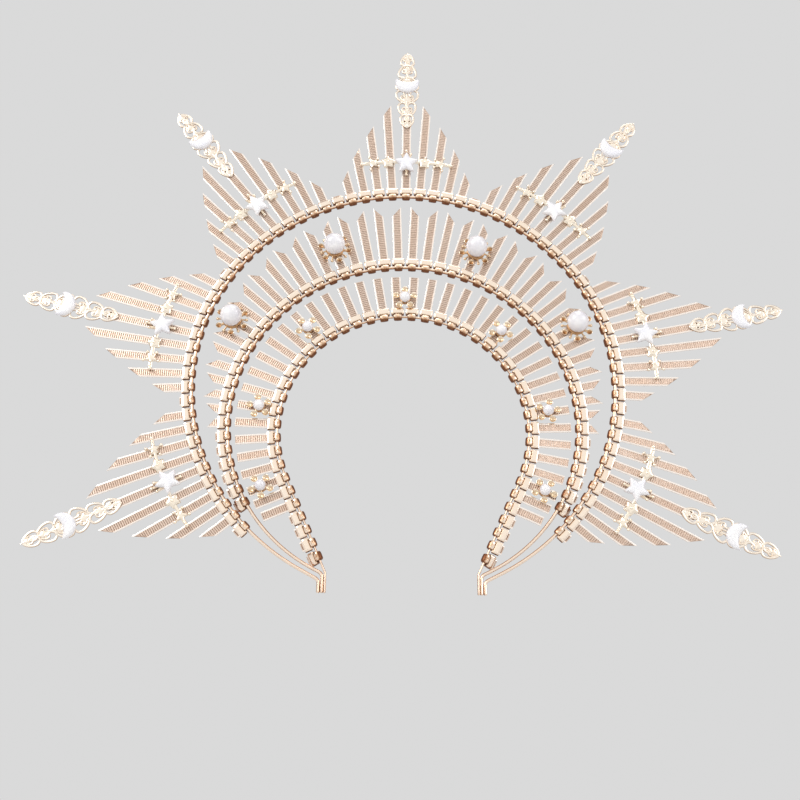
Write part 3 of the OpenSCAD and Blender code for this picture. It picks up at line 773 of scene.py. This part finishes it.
def knob_star(put, at, turn, side):
    """Plump five-armed star with a knob on each arm, one of them outwards along the bar."""
    knob = KNOB_D / 2
    lean = turn - side * TAU / 20
    star = puffed_star(KNOB_STAR_R, KNOB_NOTCH_R, KNOB_D, KNOB_STAR_RIM, CAST_SWELL, rows=8, columns=50)
    put(turned(star, lean, at))
    tip = ball(knob, (0, KNOB_STAR_R, knob), rows=7, columns=10)
    for i in range(5):
        put(turned(tip, lean + i * TAU / 5, at))


def star_bar(skin, k, arc_rows=40):
    """Arched bar with a finial, a foot, two puffed blossoms, two knobbed stars and end balls."""
    put = partial(on_ray, skin, k, STAR_Y, 0)
    arc, _ = on_bar(np.linspace(-END_BALL_X, END_BALL_X, arc_rows))
    put(thread(np.stack(arc, -1), BAR_LOOK_W, BAR_T, BAR_T / 2))
    star_seat = lathe([(0, 0), (STAR_SEAT_R, 0), (STAR_SEAT_R, BAR_T), (0, BAR_T)])
    # Painted shade on the seat under the star, and a little on the arms and knobs of the finial and foot.
    put(star_seat, STAR_SEAT_SHADE)
    knob = KNOB_D / 2
    for angle, reach in ((-FINIAL_FAN, FINIAL_Y - KNOB_D), (0, FINIAL_Y),
                         (FINIAL_FAN, FINIAL_Y - KNOB_D), (np.pi, FOOT_Y)):
        put(turned(arm(ARM_START, reach, BAR_ARM_DS, BAR_T / 2), angle), BAR_ARM_SHADE)
        put(turned(ball(knob, (0, reach, knob)), angle), BAR_KNOB_SHADE)
    blossom = puffed_star(BLOSSOM_TIP_R, BLOSSOM_NOTCH_R, BLOSSOM_H, BLOSSOM_RIM, CAST_SWELL,
                          rows=8, columns=60)
    for side in (-1, 1):
        at, turn = on_bar(side * BLOSSOM_X)
        put(turned(blossom, turn, at))
        put(ball(BLOSSOM_BALL_R, (*at, BLOSSOM_H - BLOSSOM_BALL_SINK), rows=7, columns=12))
        knob_star(put, *on_bar(side * KNOB_STAR_X), side)
        end, _ = on_bar(side * END_BALL_X)
        put(ball(END_BALL_D / 2, (*end, END_BALL_D / 2)))
    return skin


# Pearl flowers

def petal(diameter, columns=18):
    """Round cup: a thin wall swept up to a rolled rim round a hollow, its profile turned about z."""
    profile = np.array([
        (0, 0), (0.55, 0.03), (0.86, 0.32), (0.98, 0.78), (1, 0.95),
        (0.93, 1), (0.82, 0.9), (0.6, 0.55), (0.3, 0.38), (0, 0.34),
    ])
    return lathe(profile * np.array([diameter / 2, CUP_H]), columns)


def cup_seat(radius, height, pearl_d, columns=28):
    """Plate under a pearl, turned about z: its top follows the pearl's sphere with a small gap."""
    dish_size, wall, rim_size, dish_rows = 0.62, 0.8, 0.94, 6
    ball_r = pearl_d / 2 + PEARL_CLEAR
    dish = np.linspace(radius * dish_size, 0, dish_rows)
    hollow = FLOWER_T + pearl_d / 2 - np.sqrt(ball_r ** 2 - dish ** 2)
    top = np.minimum(hollow, height)
    profile = [(0, 0), (radius, 0), (radius, wall * height), (rim_size * radius, height)]
    return lathe(profile + list(zip(dish, top)), columns)


def on_flower(skin, places, y, grid, shade_and_patina, angle=0.0):
    """Adds a grid, turned about a flower's middle, y from the wire on the strip's front."""
    local = turned(grid, angle) + np.array([0, y, FRONT])
    return skin.add(seat(places, local), shade_and_patina)


def large_flower(skin, places):
    """Seat, six cups on arms, and six ball-ended stamens between them."""
    put = partial(on_flower, skin, places, LARGE_Y)
    # Painted shade on the seat under the pearl, on arms and stamens, and under and in each cup.
    put(cup_seat(LARGE_PEARL_D / 2 - FLOWER_T, CUP_H, LARGE_PEARL_D), PEARL_SEAT_SHADE)
    cup = petal(LARGE_PETAL_D) + np.array([0, LARGE_PETAL_R, 0])
    cup_arm = arm(ARM_START, LARGE_PETAL_R - LARGE_PETAL_D / 3, LARGE_ARM_DS, FLOWER_T / 2)
    knob = STAMEN_D / 2
    stem = arm(STAMEN_START, LARGE_PETAL_R, STAMEN_STEM_DS, knob)
    stamen = ball(knob, (0, LARGE_PETAL_R, knob))
    step = TAU / LARGE_PETALS
    for i in range(LARGE_PETALS):
        put(cup, LARGE_CUP_SHADE, i * step)
        put(cup_arm, LARGE_ARM_SHADE, i * step)
        put(stem, LARGE_ARM_SHADE, (i + 0.5) * step)
        put(stamen, STAMEN_SHADE, (i + 0.5) * step)
    return skin


def small_flower(skin, place, y):
    """Raised seat with five cups round it."""
    put = partial(on_flower, skin, place, y)
    # Painted shade on the seat under the pearl, on arms, and at half strength under and in each cup.
    put(cup_seat(SMALL_SEAT_R, SMALL_RISE + FLOWER_T / 2, SMALL_PEARL_D), PEARL_SEAT_SHADE)
    cup = petal(SMALL_PETAL_D) + np.array([0, SMALL_PETAL_R, SMALL_RISE])
    reach = SMALL_PETAL_R - SMALL_PETAL_D / 3
    cup_arm = arm(ARM_START, reach, SMALL_ARM_DS, SMALL_RISE + FLOWER_T / 2)
    for i in range(SMALL_PETALS):
        put(cup, SMALL_CUP_SHADE, i * TAU / SMALL_PETALS)
        put(cup_arm, SMALL_ARM_SHADE, i * TAU / SMALL_PETALS)


def pearl(diameter, places, y):
    """Pearl resting in its seat."""
    centre = (0, y, FRONT + FLOWER_T + diameter / 2)
    return seat(places, ball(diameter / 2, centre, rows=33, columns=48))


def solder_seam(side, rows=7, columns=24):
    """Seam behind three wires side by side: its front follows their backs, and its back bulges.

    Its thickness falls towards both ends with sqrt(1 - t^6).
    """
    low_y, high_y = 0.9, 4.1
    hollow, film, bulge, end_share = 0.45, 0.12, 0.2, 0.1
    x = np.linspace(INNER_X, OUTER_X, columns)
    gap = np.abs(x[:, None] - np.array([INNER_X, MIDDLE_X, OUTER_X]))
    radii = np.array([INNER_WIRE_D, WIRE_D, WIRE_D]) / 2
    sunk = np.sqrt(np.clip(radii ** 2 - gap ** 2, 0, None)).max(1)
    front = -np.maximum(sunk, hollow)
    back = front - film - bulge * np.sin(np.linspace(0, np.pi, columns))
    ring_x = np.concatenate([x, x[::-1]])
    ring_z = np.concatenate([front, back[::-1]])
    wires_z = np.concatenate([front, front[::-1]])
    y = np.linspace(low_y, high_y, rows)[:, None]
    t = np.linspace(-1, 1, rows)[:, None]
    swell = end_share + (1 - end_share) * np.sqrt(np.clip(1 - t ** 6, 0, 1))
    z = wires_z + (ring_z - wires_z) * swell
    return capped(np.stack([side * ring_x + 0 * y, y + 0 * ring_x, z], -1))


# Finishes

def set_inputs(tree, node, inputs):
    """Gives a node's inputs, by name or number, their values or links."""
    for key, value in inputs.items():
        if isinstance(value, bpy.types.NodeSocket):
            tree.links.new(value, node.inputs[key])
        else:
            node.inputs[key].default_value = value


def add_node(tree, kind, inputs=None, **settings):
    """Adds a node with its settings and inputs."""
    node = tree.nodes.new(kind)
    for key, value in settings.items():
        setattr(node, key, value)
    set_inputs(tree, node, inputs or {})
    return node


def surface_group(name, inputs):
    """New node group that puts out a colour, a roughness and a height; returns it with both ends."""
    group = bpy.data.node_groups.new(name, "ShaderNodeTree")
    for label, kind, value in inputs:
        socket = group.interface.new_socket(label, in_out="INPUT", socket_type="NodeSocket" + kind)
        socket.default_value = value
    for label, kind in (("Color", "Color"), ("Roughness", "Float"), ("Height", "Float")):
        group.interface.new_socket(label, in_out="OUTPUT", socket_type="NodeSocket" + kind)
    source = group.nodes.new("NodeGroupInput").outputs
    sink = group.nodes.new("NodeGroupOutput")
    return group, source, sink


def mix_colour(tree, factor, first, second, blend="MIX"):
    """Colour mix; returns its result."""
    node = add_node(tree, "ShaderNodeMix", {0: factor, 6: first, 7: second},
                    data_type="RGBA", blend_type=blend)
    return node.outputs[2]


def arithmetic(tree, operation, *values, clamp=False):
    """Arithmetic of two or three values; returns its result."""
    node = add_node(tree, "ShaderNodeMath", dict(enumerate(values)), operation=operation, use_clamp=clamp)
    return node.outputs[0]


def ramp(tree, value, start, end):
    """Smooth step from 0 to 1; returns its result."""
    node = add_node(tree, "ShaderNodeMapRange", {"Value": value, "From Min": start, "From Max": end},
                    interpolation_type="SMOOTHSTEP")
    return node.outputs["Result"]


def noise(tree, vector, scale, detail=3.0, roughness=0.5):
    """Noise on the piece's own coordinates; returns its value."""
    node = add_node(tree, "ShaderNodeTexNoise",
                    {"Vector": vector, "Scale": scale, "Detail": detail, "Roughness": roughness})
    return node.outputs["Fac"]


def relief(tree, height, strength, distance):
    """Bump from a height; returns its normal."""
    node = add_node(tree, "ShaderNodeBump",
                    {"Height": height, "Strength": strength, "Distance": distance})
    return node.outputs["Normal"]


def shaded_gold_group():
    """Gold that is bright where painted shade and patina are 0, deeper and then brown in its recesses,
    with cloudy gloss.

    Specks break up the painted shade and patina. Gold is raised to a power that grows with it, which
    deepens its colour as painted shade for light bounced between gold faces, then gives way to the recess
    colour with its square.
    """
    speck_share, speck_base = 0.5, 0.75
    deepening, dulling, speck_dulling = 2.6, 0.25, 0.12
    warm_tint = (0.96, 0.90, 0.85, 1)
    group, source, sink = surface_group("shaded_gold", [
        ("Gold", "Color", (0.8, 0.6, 0.4, 1)),
        ("Recess Gold", "Color", (0.2, 0.1, 0.04, 1)),
        ("Shade And Patina", "Float", 0.0),
        ("Gloss", "Float", 0.2),
        ("Vector", "Vector", (0, 0, 0)),
    ])
    cloud = noise(group, source["Vector"], scale=70.0)
    speck = noise(group, source["Vector"], scale=900.0, detail=4.0, roughness=0.6)
    broken = arithmetic(group, "MULTIPLY_ADD", speck, speck_share, speck_base)
    mask = arithmetic(group, "MULTIPLY", source["Shade And Patina"], broken, clamp=True)
    warm = mix_colour(group, 1.0, source["Gold"], warm_tint, "MULTIPLY")
    cloudy = mix_colour(group, cloud, warm, source["Gold"])
    power = arithmetic(group, "MULTIPLY_ADD", mask, deepening, 1.0)
    deep = add_node(group, "ShaderNodeGamma", {"Color": cloudy, "Gamma": power}).outputs["Color"]
    brown = arithmetic(group, "MULTIPLY", mask, mask)
    dull = arithmetic(group, "MULTIPLY_ADD", mask, dulling, source["Gloss"])
    set_inputs(group, sink, {
        "Color": mix_colour(group, brown, deep, source["Recess Gold"]),
        "Roughness": arithmetic(group, "MULTIPLY_ADD", speck, speck_dulling, dull),
        "Height": speck,
    })
    return group


def nacre_group():
    """Milky colour that drifts between two tints, with a creamy bloom, its gloss and its swell."""
    bloom_scale, bloom_share = 3.1, 0.45
    gloss, bloom_dulling = 0.14, 0.15
    group, source, sink = surface_group("milky_nacre", [
        ("Pale", "Color", (0.9, 0.9, 0.9, 1)),
        ("Tint", "Color", (0.85, 0.85, 0.9, 1)),
        ("Cream", "Color", (0.9, 0.87, 0.84, 1)),
        ("Scale", "Float", 90.0),
        ("Vector", "Vector", (0, 0, 0)),
    ])
    clouds = noise(group, source["Vector"], source["Scale"], detail=2.0, roughness=0.4)
    drift = ramp(group, clouds, 0.32, 0.68)
    fine = arithmetic(group, "MULTIPLY", source["Scale"], bloom_scale)
    bloom = noise(group, source["Vector"], fine)
    tone = mix_colour(group, drift, source["Tint"], source["Pale"])
    creamy = arithmetic(group, "MULTIPLY", bloom, bloom_share)
    set_inputs(group, sink, {
        "Color": mix_colour(group, creamy, tone, source["Cream"]),
        "Roughness": arithmetic(group, "MULTIPLY_ADD", bloom, bloom_dulling, gloss),
        "Height": bloom,
    })
    return group


SHADED_GOLD = shaded_gold_group()
MILKY_NACRE = nacre_group()


def new_material(name):
    """New material; returns it with its tree, its principled shader and the object coordinates."""
    material = bpy.data.materials.new(name)
    material.use_nodes = True
    tree = material.node_tree
    where = tree.nodes.new("ShaderNodeTexCoord").outputs["Object"]
    return material, tree, tree.nodes["Principled BSDF"], where


def gold(name, bright, recess, gloss, bump=0.04):
    """Gold finish with its own colours and gloss."""
    material, tree, shader, where = new_material(name)
    # Painted shade and patina per point mix in the second colour.
    shade_and_patina = add_node(tree, "ShaderNodeAttribute", attribute_name="shade_and_patina").outputs["Fac"]
    shaded = add_node(tree, "ShaderNodeGroup", {
        "Gold": (*bright, 1),
        "Recess Gold": (*recess, 1),
        "Shade And Patina": shade_and_patina,
        "Gloss": gloss,
        "Vector": where,
    }, node_tree=SHADED_GOLD).outputs
    set_inputs(tree, shader, {
        "Base Color": shaded["Color"],
        "Roughness": shaded["Roughness"],
        "Normal": relief(tree, shaded["Height"], bump, distance=0.0002),
        "Metallic": 1.0,
    })
    return material


def nacre(name, pale, tint, cream, scale, bump):
    """Pearl with an uneven skin and painted shade that deepens its colour towards its rim, under a clear
    gloss.
    """
    rim_shade_share, rim_shade_colour = 0.6, (0.56, 0.52, 0.58, 1)
    material, tree, shader, where = new_material(name)
    milky = add_node(tree, "ShaderNodeGroup", {
        "Pale": (*pale, 1),
        "Tint": (*tint, 1),
        "Cream": (*cream, 1),
        "Scale": scale,
        "Vector": where,
    }, node_tree=MILKY_NACRE).outputs
    # Painted shade: the colour turns grey lavender where the surface turns away from view.
    facing = add_node(tree, "ShaderNodeLayerWeight", {"Blend": 0.35}).outputs["Facing"]
    rim = arithmetic(tree, "MULTIPLY", facing, rim_shade_share)
    set_inputs(tree, shader, {
        "Base Color": mix_colour(tree, rim, milky["Color"], rim_shade_colour),
        "Roughness": milky["Roughness"],
        "Normal": relief(tree, milky["Height"], bump, distance=0.0006),
        "Specular IOR Level": 0.6,
        "Coat Weight": 0.8,
        "Coat Roughness": 0.04,
    })
    return material


# The finish of each slot; a gold's second colour is the brown of its painted shade and patina
FINISHES = {
    "wire_gold": gold("wire_gold", (0.98, 0.84, 0.71), (0.24, 0.09, 0.04), 0.12, bump=0.01),
    "sheet_gold": gold("crimp_gold", (0.98, 0.87, 0.755), (0.20, 0.08, 0.04), 0.14, bump=0.02),
    "strip_gold": gold("ladder_gold", (0.98, 0.93, 0.89), (0.27, 0.19, 0.15), 0.2),
    "filigree_gold": gold("lace_gold", (0.97, 0.91, 0.82), (0.32, 0.16, 0.08), 0.16, bump=0.02),
    "cast_gold": gold("cast_gold", (0.97, 0.90, 0.78), (0.36, 0.15, 0.05), 0.15, bump=0.02),
    "solder": gold("solder_gold", (0.66, 0.48, 0.35), (0.2, 0.1, 0.05), 0.34, bump=0.2),
    "pearl": nacre("bead_pearl", (0.94, 0.93, 0.95), (0.78, 0.77, 0.82), (0.90, 0.87, 0.86),
                   scale=210.0, bump=0.6),
    "shell": nacre("shell_pearl", (0.93, 0.93, 0.94), (0.85, 0.86, 0.92), (0.92, 0.89, 0.89),
                   scale=120.0, bump=0.08),
}


# The crown

def build_hoops():
    """Three wires and the solder behind their tips."""
    for name, hoop in (("outer", OUTER), ("middle", MIDDLE), ("inner", INNER)):
        Skin().add(*hoop_look(hoop)).piece(name + "_hoop", "wire_gold")
    solder = Skin()
    for side in (-1, 1):
        solder.add(solder_seam(side), SOLDER_DARKENING)
    solder.piece("tip_solder", "solder")


def build_ray(k):
    """Strips, ends and ornaments of one ray."""
    name = RAY_NAMES[k + RAYS_SIDE] + "_ray_"
    j = np.arange(-RAY_SIDE, RAY_SIDE + 1)
    s = (k * RAY_UNITS + j) * OUTER_PITCH
    lengths = np.where(j == 0, SPIKE_BASE + SPIKE_LAP, RAY_REACH - (np.abs(j) - 1) * RAY_STEP)
    ladder = strips(Skin(), OUTER, s, lengths, -np.sign(j), np.where(j == 0, 0, RAY_CUT))
    ladder.piece(name + "strips", "strip_gold")
    fringe_ends(Skin(), OUTER, s).piece(name + "ends", "sheet_gold")
    filigree(Skin(), k).piece(name + "filigree", "filigree_gold")
    on_ray(Skin(), k, SPIKE_BASE + MOON_Y, FILIGREE_T, crescent()).piece(name + "moon", "shell", SOFT)
    star_bar(Skin(), k).piece(name + "star_bar", "cast_gold")
    star = puffed_star(STAR_R, STAR_NOTCH_R, STAR_H, STAR_RIM, STAR_SWELL)
    on_ray(Skin(), k, STAR_Y, BAR_T, star).piece(name + "star", "shell", SOFT)


def build_outer_bare():
    """Ends between the rays, whose strips were cut off."""
    s = (np.arange(-RAYS_SIDE - 1, RAYS_SIDE + 1) + 0.5) * RAY_UNITS * OUTER_PITCH
    fringe_ends(Skin(), OUTER, s).piece("outer_bare_ends", "sheet_gold")
    stubs(Skin(), OUTER, s).piece("outer_stubs", "strip_gold")


def build_fringe(name, hoop, s, lean, bare, lengths, highs=0.0, drops=0.0):
    """Ends of a hoop, with a strip in each or, where they are bare, a stub."""
    fringe_ends(Skin(), hoop, s, lean).piece(name + "_ends", "sheet_gold")
    strips(Skin(), hoop, s[~bare], lengths, highs, drops).piece(name + "_strips", "strip_gold")
    stubs(Skin(), hoop, s[bare], lean[bare]).piece(name + "_stubs", "strip_gold")


def build_middle():
    """Fringe of the middle hoop, its strips cut slanting to the left and right in turn."""
    units = half_units(MIDDLE_ENDS)
    s = units * MIDDLE_PITCH
    bare = np.abs(units) > MIDDLE_STRIPS
    lengths = to_hoop(MIDDLE, s[~bare], OUTER, MIDDLE_SPACE)
    highs = np.sign(units) * np.where(np.floor(np.abs(units)) % 2 == 0, -1, 1)
    drops = np.minimum(MIDDLE_CUT, lengths - FOLD_END - STUB)
    build_fringe("middle", MIDDLE, s, lean_of(MIDDLE, s, OUTER), bare, lengths, highs[~bare], drops)


def build_inner():
    """Fringe of the inner hoop, its strips cut square."""
    units = half_units(INNER_ENDS)
    s = units * INNER_PITCH
    bare = np.abs(units) > INNER_STRIPS
    space = INNER_SPACE + (INNER_SPACE_LAST - INNER_SPACE) * np.abs(units) / INNER_STRIPS
    lengths = (to_hoop(INNER, s, MIDDLE) - space)[~bare]
    build_fringe("inner", INNER, s, lean_of(INNER, s, MIDDLE), bare, lengths)


def build_flowers():
    """Large flowers on the middle hoop and small ones on the inner hoop, with their pearls."""
    large = hoop_at(MIDDLE, np.array(LARGE_UNITS) * MIDDLE_PITCH)
    large_flower(Skin(), large).piece("large_flowers", "cast_gold", SOFT)
    Skin().add(pearl(LARGE_PEARL_D, large, LARGE_Y)).piece("large_pearls", "pearl", SOFT)
    flowers, pearls = Skin(), Skin()
    for unit, y in zip(SMALL_UNITS, SMALL_YS):
        place = hoop_at(INNER, unit * INNER_PITCH)
        small_flower(flowers, place, y)
        pearls.add(pearl(SMALL_PEARL_D, place, y))
    flowers.piece("small_flowers", "cast_gold", SOFT)
    pearls.piece("small_pearls", "pearl", SOFT)


build_hoops()
for ray in range(-RAYS_SIDE, RAYS_SIDE + 1):
    build_ray(ray)
build_outer_bare()
build_middle()
build_inner()
build_flowers()


# Stage, light and camera, in metres

BACKDROP = (0.7, 0.7, 0.7, 1)
PAPER = (0.78, 0.77, 0.76, 1)
FLOOR_Z = -0.003
FLOOR_HALF = 6.0
FADE_NEAR = 0.3
FADE_FAR = 1.0

STUDIO_LIGHT = (1.0, 0.99, 0.97, 1)
STUDIO_WALL = (0.22, 0.12, 0.08, 1)
STUDIO_FILL = (0.99, 0.99, 1.0, 1)
STUDIO_FILL_LEVEL = 0.6
LIGHT_DIRECTION = (0.0, -0.91, 0.41)
LIGHT_EDGE = (0.42, 0.92)
BACK_EDGE = (-0.2, 0.4)

# Camera: its place, then its elevation, azimuth and roll
CAMERA_PLACE = np.array([-10.2, -584.0, -125.4]) * MM
CAMERA_ANGLES = np.radians([21.65, 0.80, 0.71])
CAMERA_LENS_MM = 52.0
CAMERA_SENSOR_MM = 36.0
CAMERA_NEAR = 0.01


def seen_rays(tree):
    """1 for rays that show the studio itself: to the camera, in gloss and through glass."""
    path = tree.nodes.new("ShaderNodeLightPath").outputs
    seen = arithmetic(tree, "MAXIMUM", path["Is Camera Ray"], path["Is Glossy Ray"])
    return arithmetic(tree, "MAXIMUM", seen, path["Is Transmission Ray"])


def mix_shaders(tree, factor, first, second):
    """Mix of two shader nodes."""
    return add_node(tree, "ShaderNodeMixShader", {0: factor, 1: first.outputs[0], 2: second.outputs[0]})


def build_floor():
    """Pale floor under the tips: it fades into the backdrop and lets rays from below through."""
    mesh = bpy.data.meshes.new("floor")
    corners = [(x * FLOOR_HALF, y * FLOOR_HALF, FLOOR_Z) for x, y in ((-1, -1), (1, -1), (1, 1), (-1, 1))]
    mesh.from_pydata(corners, [], [(0, 1, 2, 3)])
    material, tree, paper, where = new_material("floor_paper")
    set_inputs(tree, paper, {"Base Color": PAPER, "Roughness": 0.9})
    reach = add_node(tree, "ShaderNodeVectorMath", {0: where}, operation="LENGTH").outputs["Value"]
    fade = arithmetic(tree, "MULTIPLY", ramp(tree, reach, FADE_NEAR, FADE_FAR), seen_rays(tree))
    sweep = add_node(tree, "ShaderNodeEmission", {"Color": BACKDROP, "Strength": 1.0})
    top = mix_shaders(tree, fade, paper, sweep)
    below = tree.nodes.new("ShaderNodeNewGeometry").outputs["Backfacing"]
    both = mix_shaders(tree, below, top, tree.nodes.new("ShaderNodeBsdfTransparent"))
    set_inputs(tree, tree.nodes["Material Output"], {"Surface": both.outputs[0]})
    mesh.materials.append(material)
    floor = bpy.data.objects.new("floor", mesh)
    bpy.context.scene.collection.objects.link(floor)


def build_world():
    """Pale studio; gloss sees its broad light in front above and dimmer walls round that light."""
    world = bpy.data.worlds.new("studio")
    bpy.context.scene.world = world
    world.use_nodes = True
    tree = world.node_tree
    tree.nodes.clear()
    direction = tree.nodes.new("ShaderNodeTexCoord").outputs["Generated"]
    near = add_node(tree, "ShaderNodeVectorMath", {0: direction, 1: LIGHT_DIRECTION},
                    operation="DOT_PRODUCT").outputs["Value"]
    front = mix_colour(tree, ramp(tree, near, *LIGHT_EDGE), STUDIO_WALL, STUDIO_LIGHT)
    depth = add_node(tree, "ShaderNodeSeparateXYZ", {0: direction}).outputs["Y"]
    in_gloss = mix_colour(tree, ramp(tree, depth, *BACK_EDGE), front, BACKDROP)
    camera_ray = tree.nodes.new("ShaderNodeLightPath").outputs["Is Camera Ray"]
    level = mix_colour(tree, camera_ray, in_gloss, BACKDROP)
    lit = add_node(tree, "ShaderNodeBackground", {"Color": STUDIO_FILL, "Strength": STUDIO_FILL_LEVEL})
    shown = add_node(tree, "ShaderNodeBackground", {"Color": level, "Strength": 1.0})
    both = mix_shaders(tree, seen_rays(tree), lit, shown)
    add_node(tree, "ShaderNodeOutputWorld", {"Surface": both.outputs[0]})


def add_lamp(name, where, power, size, colour=(1, 1, 1)):
    """Square soft lamp aimed at the middle of the crown."""
    light = bpy.data.lights.new(name, "AREA")
    light.energy = power
    light.size = size
    light.color = colour
    lamp = bpy.data.objects.new(name, light)
    lamp.location = where
    low, high = (np.array(corner) for corner in cad_box)
    aim = (low + high) / 2 - np.array(where)
    lamp.rotation_euler = Vector(aim).to_track_quat("-Z", "Y").to_euler()
    bpy.context.scene.collection.objects.link(lamp)


def build_camera():
    """Camera of the photograph: below the crown's middle and looking up at it."""
    elevation, azimuth, roll = CAMERA_ANGLES
    aside, ahead = np.sin(azimuth), np.cos(azimuth)
    forward = np.array([aside * np.cos(elevation), ahead * np.cos(elevation), np.sin(elevation)])
    level = np.array([ahead, -aside, 0])
    upright = np.cross(level, forward)
    right = np.cos(roll) * level + np.sin(roll) * upright
    up = np.cos(roll) * upright - np.sin(roll) * level
    turn = np.eye(4)
    turn[:3] = np.stack([right, up, -forward, CAMERA_PLACE], -1)
    data = bpy.data.cameras.new("camera")
    data.lens = CAMERA_LENS_MM
    data.sensor_width = CAMERA_SENSOR_MM
    data.clip_start = CAMERA_NEAR
    camera = bpy.data.objects.new("camera", data)
    camera.matrix_world = Matrix(turn.tolist())
    bpy.context.scene.collection.objects.link(camera)
    bpy.context.scene.camera = camera


build_floor()
build_world()
add_lamp("key", (-1.05, -0.85, 0.8), power=11.5, size=0.8, colour=(1.0, 0.99, 0.97))
add_lamp("fill", (1.15, -0.65, 0.5), power=5.5, size=0.8, colour=(0.98, 0.99, 1.0))
add_lamp("top", (0.1, -0.2, 1.3), power=3.0, size=0.6)
build_camera()
bpy.context.scene.view_settings.view_transform = "Standard"
